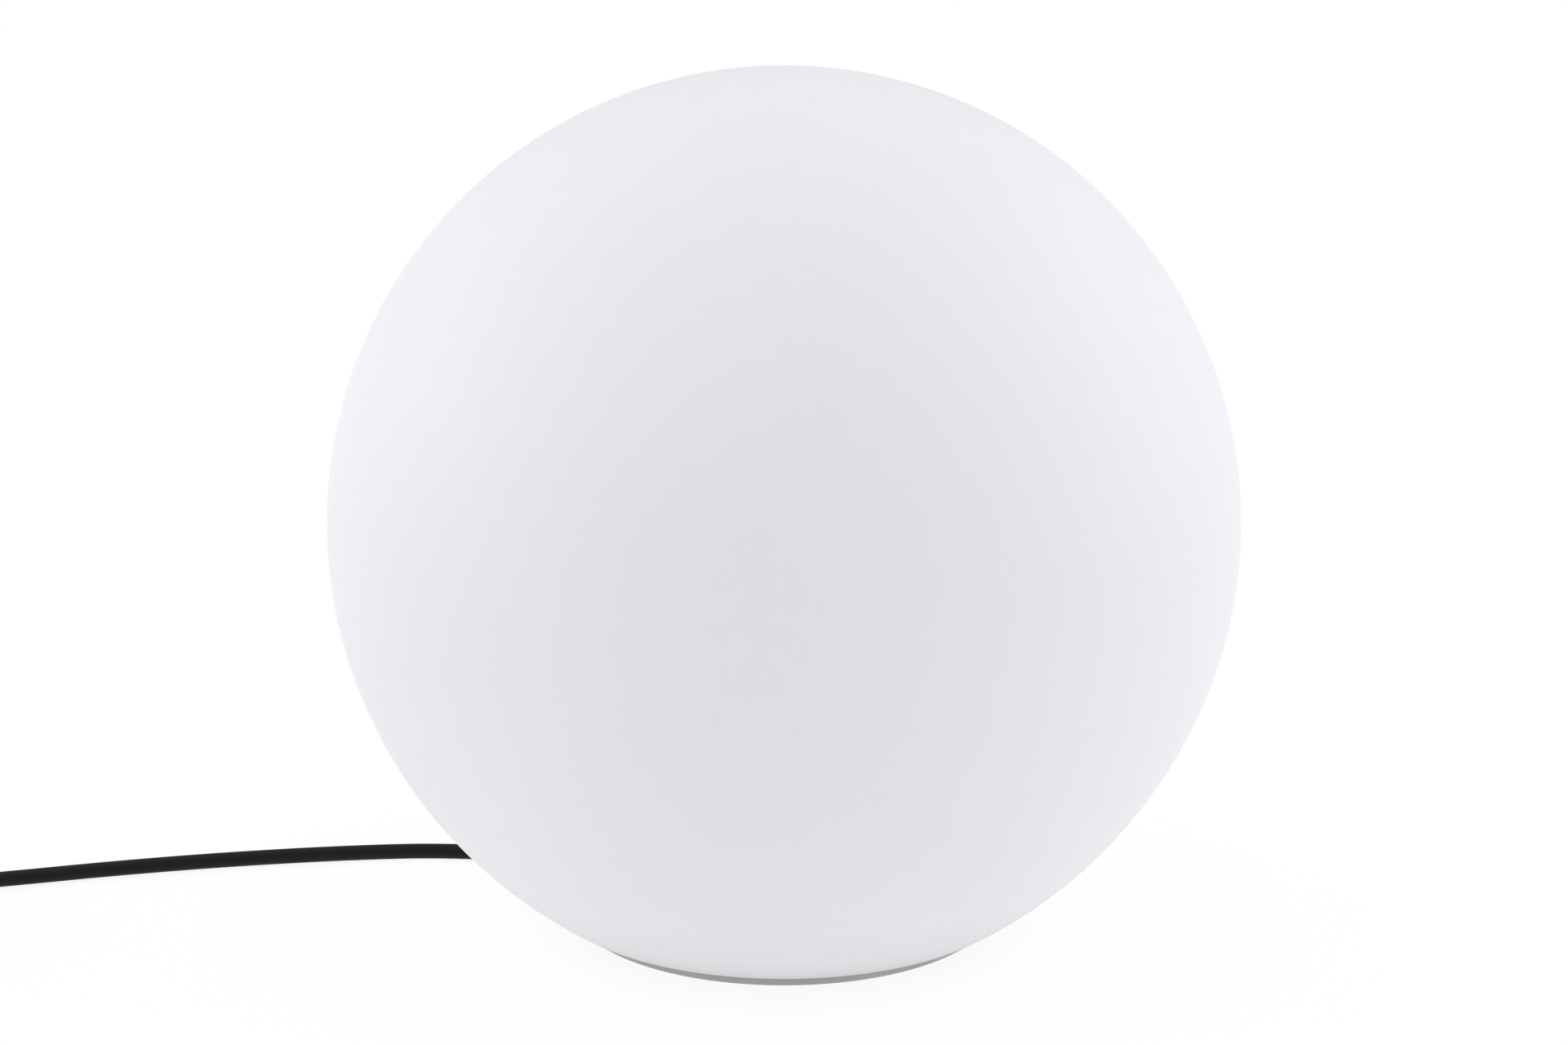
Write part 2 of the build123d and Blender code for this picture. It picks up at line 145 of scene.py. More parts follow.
def cut(obj, tools, how="DIFFERENCE", sharp=32.0):
    """Takes the tool meshes out of obj, or joins them to it, and drops the tools."""
    for t in tools:
        m = obj.modifiers.new("cut", "BOOLEAN")
        m.operation, m.object, m.solver = how, t, "EXACT"
    settle(obj)
    for t in tools:
        bpy.data.objects.remove(t)
    obj.data.shade_smooth()
    obj.data.set_sharp_from_angle(angle=radians(sharp))
    return obj


def settle(obj):
    """Puts the modifiers' result into the mesh."""
    dg = bpy.context.evaluated_depsgraph_get()
    me = bpy.data.meshes.new_from_object(obj.evaluated_get(dg))
    old = obj.data
    obj.modifiers.clear()
    obj.data = me
    bpy.data.meshes.remove(old)


def even_normals(obj):
    m = obj.modifiers.new("normals", "WEIGHTED_NORMAL")
    m.keep_sharp = True
    m.weight = 60
    settle(obj)
    return obj


def rod_tool(x, y, r, z0, z1, seg=28):
    bm = lathe_bm([(0, z0), (r, z0), (r, z1), (0, z1)], seg, False)
    bmesh.ops.translate(bm, verts=bm.verts[:], vec=(x * MM, y * MM, 0))
    return from_bm("tool", bm)


def polar(r, deg):
    return r * cos(radians(deg)), r * sin(radians(deg))


def loft_bm(rows, cap0=True, cap1=True, bm=None):
    """Faces between closed rows of points, mm."""
    bm = bm or bmesh.new()
    rings = [[bm.verts.new((p[0] * MM, p[1] * MM, p[2] * MM)) for p in row] for row in rows]
    n = len(rings[0])
    for a, b in zip(rings, rings[1:]):
        for k in range(n):
            j = (k + 1) % n
            bm.faces.new((a[k], a[j], b[j], b[k]))
    if cap0:
        bm.faces.new(rings[0][::-1])
    if cap1:
        bm.faces.new(rings[-1])
    return bm


def round_row(r, z, seg, x=0.0, y=0.0):
    return [(x + (r(k) if callable(r) else r) * cos(2 * pi * k / seg),
             y + (r(k) if callable(r) else r) * sin(2 * pi * k / seg), z) for k in range(seg)]


def lay_plug(bm):
    """From along +Z at the origin to the plug's place, pins towards -Y."""
    bmesh.ops.transform(bm, verts=bm.verts[:], matrix=Matrix.Translation((PLUG_X * MM, PLUG_Y0 * MM, PLUG_Z * MM))
                        @ Matrix.Rotation(pi / 2, 4, "X"))
    return bm


def join(name, objs, sharp=32.0):
    bm = bmesh.new()
    for o in objs:
        bm.from_mesh(o.data)
    for o in objs:
        me = o.data
        bpy.data.objects.remove(o)
        bpy.data.meshes.remove(me)
    bmesh.ops.dissolve_degenerate(bm, edges=bm.edges[:], dist=1e-7)
    return from_bm(name, bm, sharp)


# ---------------------------------------------------------------- material helpers
def material(name, rough, color=None, metallic=0.0, **sockets):
    m = bpy.data.materials.new(name)
    m.use_nodes = True
    nt = m.node_tree
    b = nt.nodes["Principled BSDF"]
    b.inputs["Roughness"].default_value = rough
    b.inputs["Metallic"].default_value = metallic
    if color:
        b.inputs["Base Color"].default_value = (*color, 1)
    for k, v in sockets.items():
        b.inputs[k.replace("_", " ")].default_value = v
    return m, nt, b


def coords(nt, scale=(1, 1, 1)):
    tc = nt.nodes.new("ShaderNodeTexCoord")
    if scale == (1, 1, 1):
        return tc.outputs["Object"]
    mp = nt.nodes.new("ShaderNodeMapping")
    mp.inputs["Scale"].default_value = scale
    nt.links.new(tc.outputs["Object"], mp.inputs["Vector"])
    return mp.outputs["Vector"]


def noise(nt, vec, scale, detail=3.0, rough=0.55, distortion=0.0):
    n = nt.nodes.new("ShaderNodeTexNoise")
    n.inputs["Scale"].default_value = scale
    n.inputs["Detail"].default_value = detail
    n.inputs["Roughness"].default_value = rough
    n.inputs["Distortion"].default_value = distortion
    nt.links.new(vec, n.inputs["Vector"])
    return n.outputs["Fac"]


def ramp(nt, fac, stops):
    r = nt.nodes.new("ShaderNodeValToRGB")
    els = r.color_ramp.elements
    while len(els) < len(stops):
        els.new(0.5)
    for e, (pos, col) in zip(els, stops):
        e.position = pos
        e.color = (*col, 1) if len(col) == 3 else col
    nt.links.new(fac, r.inputs["Fac"])
    return r.outputs["Color"]


def span(nt, fac, lo, hi, a=0.0, b=1.0):
    r = nt.nodes.new("ShaderNodeMapRange")
    r.inputs["From Min"].default_value = a
    r.inputs["From Max"].default_value = b
    r.inputs["To Min"].default_value = lo
    r.inputs["To Max"].default_value = hi
    nt.links.new(fac, r.inputs["Value"])
    return r.outputs["Result"]


def math_node(nt, op, a, b):
    n = nt.nodes.new("ShaderNodeMath")
    n.operation = op
    for i, v in enumerate((a, b)):
        if isinstance(v, (int, float)):
            n.inputs[i].default_value = v
        else:
            nt.links.new(v, n.inputs[i])
    return n.outputs["Value"]


def mix_color(nt, fac, a, b):
    n = nt.nodes.new("ShaderNodeMix")
    n.data_type = "RGBA"
    nt.links.new(fac, [s for s in n.inputs if s.name == "Factor" and s.type == "VALUE"][0])
    for s, v in zip([s for s in n.inputs if s.type == "RGBA"], (a, b)):
        if isinstance(v, tuple):
            s.default_value = (*v, 1)
        else:
            nt.links.new(v, s)
    return [o for o in n.outputs if o.type == "RGBA"][0]


def bump(nt, bsdf, height, distance, strength=1.0, before=None):
    n = nt.nodes.new("ShaderNodeBump")
    n.inputs["Strength"].default_value = strength
    n.inputs["Distance"].default_value = distance
    nt.links.new(height, n.inputs["Height"])
    if before is not None:
        nt.links.new(before, n.inputs["Normal"])
    nt.links.new(n.outputs["Normal"], bsdf.inputs["Normal"])
    return n.outputs["Normal"]


# ---------------------------------------------------------------- materials
def mat_globe():
    m, nt, b = material("globe_white", 0.50, **{"IOR": 1.51, "Specular_IOR_Level": 0.26, "Subsurface_Weight": 0.22, "Subsurface_Scale": 0.003})
    b.inputs["Subsurface Radius"].default_value = (1.0, 0.97, 0.92)
    v = coords(nt)
    cloud = noise(nt, v, 7.0, 4.0, 0.5)
    fine = noise(nt, v, 90.0, 3.0, 0.6)
    tone = math_node(nt, "ADD", math_node(nt, "MULTIPLY", cloud, 0.75), math_node(nt, "MULTIPLY", fine, 0.25))
    body = ramp(nt, tone, [(0.3, (0.768, 0.776, 0.800)), (0.7, (0.790, 0.798, 0.820))])
    # painted shade along the lower rim: the body colour darkens from 46 mm down to the rim at 8 mm, standing in for the
    # floor's contact shadow
    sep = nt.nodes.new("ShaderNodeSeparateXYZ")
    nt.links.new(v, sep.inputs["Vector"])
    low = math_node(nt, "ADD", sep.outputs["Z"], math_node(nt, "MULTIPLY", math_node(nt, "SUBTRACT", fine, 0.5), 0.003))
    # painted shade: this ramp darkens the globe's colour towards its lower rim
    dust_and_painted_shade = ramp(nt, span(nt, low, 0.0, 1.0, 0.008, 0.046), [(at, (k, k, k)) for at, k in ((0.0, 1.0), (0.066, 0.80), (0.158, 0.50), (0.395, 0.24), (0.737, 0.08), (1.0, 0.0))])
    nt.links.new(mix_color(nt, dust_and_painted_shade, body, (0.600, 0.605, 0.620)), b.inputs["Base Color"])
    nt.links.new(span(nt, noise(nt, v, 40.0, 5.0, 0.6), 0.44, 0.58, 0.25, 0.75), b.inputs["Roughness"])
    wave = noise(nt, v, 14.0, 2.0, 0.4)
    peel = noise(nt, v, 620.0, 2.0, 0.5)
    n1 = bump(nt, b, wave, 0.0006, 0.35)
    bump(nt, b, peel, 0.00006, 0.30, n1)
    return m


def mat_base():
    m, nt, b = material("base_grey", 0.6, **{"IOR": 1.49, "Specular_IOR_Level": 0.35})
    v = coords(nt)
    grain = noise(nt, v, 1500.0, 3.0, 0.6)
    cloud = noise(nt, v, 30.0, 4.0, 0.55)
    tone = math_node(nt, "ADD", math_node(nt, "MULTIPLY", cloud, 0.6), math_node(nt, "MULTIPLY", grain, 0.4))
    nt.links.new(ramp(nt, tone, [(0.3, (0.373, 0.374, 0.376)), (0.7, (0.425, 0.426, 0.428))]), b.inputs["Base Color"])
    nt.links.new(span(nt, grain, 0.50, 0.68, 0.3, 0.7), b.inputs["Roughness"])
    bump(nt, b, grain, 0.00012, 0.5)
    return m


def mat_rubber(name, lo, hi, rough, scale=900.0, depth=0.00008, gloss=0.16):
    m, nt, b = material(name, rough, **{"IOR": 1.52, "Specular_IOR_Level": gloss})
    v = coords(nt)
    grain = noise(nt, v, scale, 4.0, 0.6)
    dust_and_painted_shade = noise(nt, v, 60.0, 5.0, 0.65)
    tone = math_node(nt, "ADD", math_node(nt, "MULTIPLY", dust_and_painted_shade, 0.7), math_node(nt, "MULTIPLY", grain, 0.3))
    nt.links.new(ramp(nt, tone, [(0.32, (lo, lo, lo * 1.02)), (0.72, (hi, hi, hi * 1.02))]), b.inputs["Base Color"])
    nt.links.new(span(nt, dust_and_painted_shade, rough - 0.08, rough + 0.10, 0.25, 0.75), b.inputs["Roughness"])
    bump(nt, b, grain, depth, 0.6)
    return m


def mat_metal(name, dark, light, rough, brushed=None, spots=60.0, metallic=1.0):
    m, nt, b = material(name, rough, metallic=metallic)
    v = coords(nt)
    cloud = noise(nt, v, spots, 5.0, 0.6)
    nt.links.new(ramp(nt, cloud, [(0.3, dark), (0.7, light)]), b.inputs["Base Color"])
    line = noise(nt, coords(nt, brushed) if brushed else v, 400.0 if not brushed else 1.0, 3.0, 0.6)
    nt.links.new(span(nt, line, rough - 0.08, rough + 0.10, 0.25, 0.75), b.inputs["Roughness"])
    bump(nt, b, line, 0.00002, 0.4)
    return m


def mat_plastic(name, dark, light, rough, scale=700.0, depth=0.00004, ior=1.5, **more):
    m, nt, b = material(name, rough, **{"IOR": ior, **more})
    v = coords(nt)
    cloud = noise(nt, v, 45.0, 4.0, 0.55)
    grain = noise(nt, v, scale, 3.0, 0.55)
    nt.links.new(ramp(nt, cloud, [(0.3, dark), (0.7, light)]), b.inputs["Base Color"])
    nt.links.new(span(nt, grain, rough - 0.06, rough + 0.07, 0.25, 0.75), b.inputs["Roughness"])
    bump(nt, b, grain, depth, 0.5)
    return m


def mat_porcelain():
    m, nt, b = material("porcelain", 0.16, **{"IOR": 1.54, "Coat_Weight": 0.6, "Coat_Roughness": 0.05})
    v = coords(nt)
    cloud = noise(nt, v, 55.0, 5.0, 0.6)
    speck = noise(nt, v, 900.0, 2.0, 0.5)
    body = ramp(nt, cloud, [(0.3, (0.74, 0.73, 0.69)), (0.7, (0.82, 0.81, 0.78))])
    dots = ramp(nt, speck, [(0.24, (1, 1, 1)), (0.29, (0, 0, 0))])
    nt.links.new(mix_color(nt, dots, body, (0.42, 0.38, 0.32)), b.inputs["Base Color"])
    nt.links.new(span(nt, cloud, 0.10, 0.24, 0.25, 0.75), b.inputs["Roughness"])
    bump(nt, b, noise(nt, v, 160.0, 2.0, 0.5), 0.0001, 0.35)
    return m


def mat_tie():
    m, nt, b = material("tie_fabric", 0.9, **{"Sheen_Weight": 0.5, "Sheen_Roughness": 0.4})
    v = coords(nt)
    loops = noise(nt, v, 2200.0, 4.0, 0.7, 0.6)
    nt.links.new(ramp(nt, loops, [(0.3, (0.012, 0.012, 0.013)), (0.75, (0.055, 0.055, 0.058))]), b.inputs["Base Color"])
    nt.links.new(span(nt, loops, 0.8, 1.0), b.inputs["Roughness"])
    bump(nt, b, loops, 0.0005, 0.8)
    return m


def mat_led():
    m, nt, b = material("led_phosphor", 0.45)
    v = coords(nt)
    grain = noise(nt, v, 2500.0, 3.0, 0.6)
    nt.links.new(ramp(nt, grain, [(0.3, (0.80, 0.60, 0.10)), (0.7, (0.95, 0.78, 0.22))]), b.inputs["Base Color"])
    nt.links.new(span(nt, grain, 0.35, 0.55), b.inputs["Roughness"])
    return m


MAT = {
    "globe_white": mat_globe(),
    "base_grey": mat_base(),
    "rubber_black": mat_rubber("rubber_black", 0.0045, 0.0095, 0.50),
    "seal_rubber": mat_rubber("seal_rubber", 0.014, 0.032, 0.68, 700.0, 0.00012),
    "gland_nylon": mat_plastic("gland_nylon", (0.018, 0.018, 0.019), (0.030, 0.030, 0.031), 0.42),
    "zinc_steel": mat_metal("zinc_steel", (0.50, 0.50, 0.47), (0.66, 0.66, 0.64), 0.36, None, 140.0),
    "stainless": mat_metal("stainless", (0.55, 0.55, 0.54), (0.66, 0.66, 0.66), 0.27, (300.0, 300.0, 4000.0)),
    "brass_plain": mat_metal("brass_plain", (0.66, 0.46, 0.18), (0.80, 0.60, 0.28), 0.26, (400.0, 400.0, 5000.0)),
    "nickel": mat_metal("nickel", (0.58, 0.56, 0.52), (0.70, 0.68, 0.64), 0.22, (300.0, 300.0, 4500.0)),
    "porcelain": mat_porcelain(),
    "core_brown": mat_plastic("core_brown", (0.11, 0.042, 0.016), (0.17, 0.068, 0.028), 0.42),
    "core_blue": mat_plastic("core_blue", (0.020, 0.10, 0.36), (0.035, 0.15, 0.46), 0.42),
    "block_natural": mat_plastic("block_natural", (0.70, 0.70, 0.65), (0.78, 0.78, 0.74), 0.44, **{"Subsurface_Weight": 0.3, "Subsurface_Scale": 0.002}),
    "opal": mat_plastic("opal", (0.80, 0.80, 0.79), (0.85, 0.85, 0.845), 0.40, 500.0, 0.00004, **{"Subsurface_Weight": 0.35, "Subsurface_Scale": 0.003}),
    "lamp_white": mat_plastic("lamp_white", (0.74, 0.74, 0.73), (0.80, 0.80, 0.79), 0.34),
    "vitrite": mat_plastic("vitrite", (0.006, 0.006, 0.007), (0.014, 0.014, 0.015), 0.12, 300.0),
    "led_board": mat_plastic("led_board", (0.76, 0.76, 0.75), (0.82, 0.82, 0.81), 0.42),
    "led_phosphor": mat_led(),
    "driver_green": mat_plastic("driver_green", (0.012, 0.10, 0.035), (0.022, 0.15, 0.055), 0.38),
    "tie_fabric": mat_tie(),
}
SLOT_OF = {s["node"]: s["material_slot"] for s in frame["record"]["subparts"]}


def dress(obj, slot):
    if len(obj.data.materials):
        obj.data.materials.clear()
    obj.data.materials.append(MAT[slot])
    return obj


for name, node in NODES.items():
    node.data.materials.clear()
    node.data.materials.append(MAT[SLOT_OF[name]])


def stand_in(obj, slot, body, *nodes):
    """obj gets the slot's material, rides the body and takes the nodes' place."""
    dress(obj, slot)
    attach(obj, body)
    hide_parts(*nodes)
    return obj


# ---------------------------------------------------------------- camera
cam_data = bpy.data.cameras.new("camera")
cam = bpy.data.objects.new("camera", cam_data)
scene.collection.objects.link(cam)
scene.camera = cam
CAM_EL, CAM_DIST = radians(16.0), 1.7
target = Vector((0, 0, GLOBE_ZC * MM))
away = Vector((0, -cos(CAM_EL), sin(CAM_EL)))
cam.location = target + away * CAM_DIST
cam.rotation_mode = "QUATERNION"
cam.rotation_quaternion = (-away).to_track_quat("-Z", "Y")
cam_data.sensor_width = 36.0
cam_data.lens = 88.63
cam_data.clip_start, cam_data.clip_end = 0.05, 100.0

# ---------------------------------------------------------------- lead: one spline from the gland to the plug
ux, uy = polar(1.0, EXIT_DEG)
LEAD = [(GLAND_END * ux, GLAND_END * uy, GLAND_Z),
        (66.0 * ux, 66.0 * uy, GLAND_Z),
        (92.0 * ux, 92.0 * uy, CORD_Z + 0.05),
        (-113.3, 52.6, CORD_Z),
        (-160.0, 59.2, CORD_Z),
        (-205.0, 55.6, CORD_Z),
        (-255.0, 47.8, CORD_Z),
        (-305.0, 36.8, CORD_Z),
        (-352.0, 23.6, CORD_Z),
        (-389.0, 12.7, CORD_Z + 0.4),
        (-423.0, 2.2, COIL_Z0 + CORD_D / 2)]
OUT_R, IN_R = 45.5, 38.5                      # outer and inner turns of the coil
way = Vector((LEAD[-1][0] - LEAD[-2][0], LEAD[-1][1] - LEAD[-2][1])).normalized()
COIL_C = (LEAD[-1][0] - OUT_R * way.y, LEAD[-1][1] + OUT_R * way.x)
start = degrees(atan2(LEAD[-1][1] - COIL_C[1], LEAD[-1][0] - COIL_C[0]))
LAYER = [COIL_Z0 + CORD_D * (k + 0.5) for k in range(3)]
# the places that the turns take one after the other: (radius, height)
PLACES = [(OUT_R, LAYER[0]), (IN_R, LAYER[0]), (IN_R, LAYER[1]), (OUT_R, LAYER[1]), (IN_R, LAYER[2]), (OUT_R, LAYER[2])]
total = 5 * 360 + (180.0 - start)
gap = (360.0 - (180.0 - start)) / 5           # each change of place comes a little earlier in its turn
points = [Vector(p) for p in LEAD[:-1]]
steps = round((total - 22.5) / 22.5)
step = (total - 22.5) / steps
for i in range(steps + 1):
    w = 11.25 + step * i
    r, z = PLACES[0]
    for k in range(1, 6):
        end = 360.0 * k - gap * (k - 1)
        f = min(1.0, max(0.0, (w - (end - 85.0)) / 85.0))
        f = f * f * (3 - 2 * f)
        r += f * (PLACES[k][0] - PLACES[k - 1][0])
        z += f * (PLACES[k][1] - PLACES[k - 1][1])
    r += 1.6 * max(0.0, 1 - (total - w) / 45.0)
    rho = r / cos(radians(step / 2))
    x, y = polar(rho, start + w)
    points.append(Vector((COIL_C[0] + x, COIL_C[1] + y, z)))
PLUG_X, PLUG_Y0 = COIL_C[0] - OUT_R - 2.0, COIL_C[1] - 64.0
points += [Vector((COIL_C[0] - OUT_R - 1.0, COIL_C[1] - 21.0, LAYER[2] - 0.3)),
           Vector((PLUG_X, COIL_C[1] - 43.0, PLUG_Z)),
           Vector((PLUG_X, PLUG_Y0, PLUG_Z))]
curve = bpy.data.curves.new("mains_lead", "CURVE")
curve.dimensions = "3D"
spline = curve.splines.new("NURBS")
spline.points.add(len(points) - 1)
for sp, p in zip(spline.points, points):
    sp.co = (p.x * MM, p.y * MM, p.z * MM, 1.0)
spline.order_u = 3
spline.use_endpoint_u = True
spline.resolution_u = 10
curve.bevel_depth = CORD_D / 2 * MM
curve.bevel_resolution = 9
curve.use_fill_caps = True
lead = bpy.data.objects.new("mains_lead", curve)
scene.collection.objects.link(lead)
stand_in(lead, "rubber_black", "base", "cord_lead", "cord_coil", "plug_lead")

# plug: ribbed bend relief, moulded body, two round pins
relief = [(0, 0), (4.6, 0, 0.5)]
for k in range(6):
    w = 3.2 + 3.9 * k
    r0, r1 = 4.6 + 2.2 * w / 28, 4.6 + 2.2 * (w + 1.5) / 28
    relief += [(r0, w, 0.35), (r0 - 0.95, w + 0.25, 0.2), (r1 - 0.95, w + 1.25, 0.2), (r1, w + 1.5, 0.35)]
relief += [(6.85, 26.6), (7.0, 28.0), (0, 28.0)]
sleeve = from_bm("plug_relief", lay_plug(lathe_bm(fillet_outline(relief, False, 4), 40, False)))
stand_in(sleeve, "rubber_black", "base", "plug_sleeve")

SIDE = [(28.0, 7.3, 7.2), (30.0, 8.1, 7.9), (34.0, 10.4, 9.5), (40.0, 13.6, 11.3), (46.0, 16.4, 12.1), (52.0, 18.1, 12.45),
        (57.0, 18.5, 12.5), (64.6, 18.45, 12.45), (65.8, 18.25, 12.25), (66.6, 17.75, 11.75), (67.0, 16.9, 10.9)]


def side_at(w):
    for (w0, a0, b0), (w1, a1, b1) in zip(SIDE, SIDE[1:]):
        if w <= w1:
            f = (w - w0) / (w1 - w0)
            return a0 + f * (a1 - a0), b0 + f * (b1 - b0)
    return SIDE[-1][1:]


rows, w = [], 28.0
while w < 67.0 + 1e-6:
    a0, b0 = side_at(max(28.0, w - 0.8))
    a1, b1 = side_at(w)
    a2, b2 = side_at(min(67.0, w + 0.8))
    sa, sb = ((a0 + 2 * a1 + a2) / 4, (b0 + 2 * b1 + b2) / 4) if w < 64 else (a1, b1)
    dent = sum(max(0.0, cos(pi / 2 * min(1.0, abs(w - (43.5 + 3.1 * k)) / 1.1))) for k in range(5))
    row = []
    for k in range(72):
        t = 2 * pi * k / 72
        c, s = cos(t), sin(t)
        grip = min(1.0, max(0.0, (abs(s) - 0.25) / 0.35))
        grip = 0.75 * dent * grip * grip * (3 - 2 * grip)
        row.append(((sa - 0.3 * grip) * math.copysign(abs(c) ** 0.78, c), (sb - grip) * math.copysign(abs(s) ** 0.78, s), w))
    rows.append(row)
    w += 0.3
body = from_bm("plug_moulding", lay_plug(loft_bm(rows)), 40)
stand_in(body, "rubber_black", "base", "plug_body")
bm = bmesh.new()
for s in (-9.5, 9.5):
    one = lathe_bm(fillet_outline([(0, 66.6), (3.2, 66.6), (3.2, 67.35, 0.3), (2.4, 67.35), (2.4, 86.0, 1.9), (0, 86.0)], False, 8), 32, False)
    bmesh.ops.translate(one, verts=one.verts[:], vec=(s * MM, 0, 0))
    me = bpy.data.meshes.new("pin")
    one.to_mesh(me)
    one.free()
    bm.from_mesh(me)
    bpy.data.meshes.remove(me)
pins = from_bm("plug_contacts", lay_plug(bm))
stand_in(pins, "nickel", "base", "plug_pins")

# hook-and-loop tie round the coil, its end lapped over on the outside
x0, x1, z0, z1, cr = 33.85, 49.6, 0.46, 22.45, 3.4
way_round = [(x1, 6.0), (x1, z1 - cr)]
way_round += [(x1 - cr + cr * cos(t), z1 - cr + cr * sin(t)) for t in (pi / 2 * k / 8 for k in range(1, 9))]
way_round += [(x1 - cr - (x1 - x0 - 2 * cr) * k / 3, z1) for k in range(1, 4)]
way_round += [(x0 + cr + cr * cos(t), z1 - cr + cr * sin(t)) for t in (pi / 2 + pi / 2 * k / 8 for k in range(1, 9))]
way_round += [(x0, z1 - cr - (z1 - z0 - 2 * cr) * k / 3) for k in range(1, 4)]
way_round += [(x0 + cr + cr * cos(t), z0 + cr + cr * sin(t)) for t in (pi + pi / 2 * k / 8 for k in range(1, 9))]
way_round += [(x1 - cr, z0)]
way_round += [(x1 - cr + cr * cos(t), z0 + cr + cr * sin(t)) for t in (1.5 * pi + pi / 2 * k / 8 for k in range(1, 8))]
way_round += [(x1 + 0.25, z0 + cr + 0.6), (x1 + 0.75, 6.2), (x1 + 0.86, 8.5), (x1 + 0.86, 12.0), (x1 + 0.90, 15.5), (x1 + 1.15, 17.6), (x1 + 1.6, 19.2)]
rows = []
for k, p in enumerate(way_round):
    q0, q1 = way_round[max(0, k - 1)], way_round[min(len(way_round) - 1, k + 1)]
    d = Vector((q1[0] - q0[0], q1[1] - q0[1])).normalized()
    nx, nz = d.y * 0.39, -d.x * 0.39
    rows.append([(p[0] + nx * a, b, p[1] + nz * a) for a, b in ((1, 5.75), (0.55, 6.0), (-0.55, 6.0), (-1, 5.75), (-1, -5.75), (-0.55, -6.0), (0.55, -6.0), (1, -5.75))])
bm = loft_bm(rows)
bmesh.ops.transform(bm, verts=bm.verts[:], matrix=Matrix.Translation((COIL_C[0] * MM, COIL_C[1] * MM, 0)) @ Matrix.Rotation(radians(40), 4, "Z"))
tie = from_bm("lead_tie", bm, 50)
stand_in(tie, "tie_fabric", "base", "coil_tie")

# ---------------------------------------------------------------- globe
a = radians(FLARE_DEG)
drop = GLOBE_ZC - RIM_Z
flare = (RIM_R ** 2 + drop ** 2 - GLOBE_R ** 2) / (2 * GLOBE_R - 2 * (RIM_R * cos(a) + drop * sin(a)))
fx, fz = -flare * cos(a), GLOBE_ZC + flare * sin(a)
Fo, Fi, Ri = GLOBE_R + flare, GLOBE_R + flare - WALL, GLOBE_R - WALL
rim_deg = degrees(math.asin((RIM_Z - fz) / Fo))
pocket_deg = degrees(math.asin((POCKET_Z - fz) / Fi))
flange_top = FLANGE_Z + WALL
outline = arc_pts(0, GLOBE_ZC, GLOBE_R, 90, -FLARE_DEG, 88)
outline[0] = (0.0, GLOBE_ZC + GLOBE_R)
outline += arc_pts(fx, fz, Fo, -FLARE_DEG, rim_deg, 32)[1:-1]
outline += [(RIM_R, RIM_Z, 1.3), (LIP_R, RIM_Z, 1.3), (LIP_R, FLANGE_Z, 0.8), (MOUTH_R, FLANGE_Z, 0.6),
            (MOUTH_R, COLLAR_Z, 1.0), (MOUTH_R + WALL, COLLAR_Z, 1.0), (MOUTH_R + WALL, flange_top, 0.8),
            (LIP_R + WALL, flange_top, 0.8), (LIP_R + WALL, POCKET_Z, 0.8), (*arc_pts(fx, fz, Fi, pocket_deg, 0, 1)[0], 0.8)]
outline += arc_pts(fx, fz, Fi, pocket_deg, -FLARE_DEG, 16)[1:]
inner = arc_pts(0, GLOBE_ZC, Ri, -FLARE_DEG, 90, 44)[1:]
inner[-1] = (0.0, GLOBE_ZC + Ri)
outline += inner
globe = lathe("globe", fillet_outline(outline, False), 256, False)
cut(globe, [rod_tool(*polar(SCREW_R, EXIT_DEG + 22.5 + 90 * i), 2.6, FLANGE_Z - 4, flange_top + 4) for i in range(4)])
stand_in(globe, "globe_white", "globe", "globe_shell")

# ---------------------------------------------------------------- base
def block(x0, x1, y0, y1, z0, z1, corner=0.0, n=6):
    """Upright block with rounded corners, as rows for a loft."""
    pts = []
    for sx, sy, d in ((1, 1, 0), (-1, 1, 90), (-1, -1, 180), (1, -1, 270)):
        cx, cy = (x1 - corner if sx > 0 else x0 + corner), (y1 - corner if sy > 0 else y0 + corner)
        if corner <= 0:
            pts.append((cx, cy))
        else:
            pts += [(cx + corner * cos(radians(d + 90 * k / n)), cy + corner * sin(radians(d + 90 * k / n))) for k in range(n + 1)]
    return [[(x, y, z0) for x, y in pts], [(x, y, z1) for x, y in pts]]


def turn_base(bm, deg=0.0):
    bmesh.ops.rotate(bm, verts=bm.verts[:], cent=(0, 0, 0), matrix=Matrix.Rotation(radians(EXIT_DEG + deg), 3, "Z"))
    return bm


outline = [(0, 34.0), (75.5, 34.0, 1.5), (75.5, 20.0, 0.7), (78.2, 20.0, 0.25), (78.2, 17.6, 0.2), (81.2, 17.6, 0.2), (81.2, 20.0, 0.25),
           (BASE_R, 20.0, 1.1), (BASE_R, BASE_Z0, 0.4), (BASE_R - 3, BASE_Z0, 0.4), (BASE_R - 3, 16.0, 0.6), (72.5, 16.0, 0.4), (72.5, 31.0, 0.6), (0, 31.0)]
tray = from_bm("base_moulding", lathe_bm(fillet_outline(outline, False), 192, False))
edge = [(1.2, 1.2), (0.74, 1.29), (0.35, 1.55), (0.09, 1.94), (0.0, 2.4)]      # (set in, height) of a rounded lower edge
bm = turn_base(loft_bm([block(-29 + e, 29 - e, -29 + e, 29 - e, z, z, 6.0 - e)[0] for e, z in edge + [(0.0, 32.4)]]))
for k in range(4):
    loft_bm([round_row(r, z, 32, *polar(FOOT_R, EXIT_DEG + 45 + 90 * k)) for r, z in ((7.6, 2.4), (7.88, 2.52), (8.0, 2.8), (8.0, 16.8))], bm=bm)
for k in (1, -1):
    loft_bm([round_row(r, z, 24, *polar(38.0 * k, EXIT_DEG + 90)) for r, z in ((4.4, 18.0), (4.82, 18.18), (5.0, 18.6), (5.0, 31.8))], bm=bm)
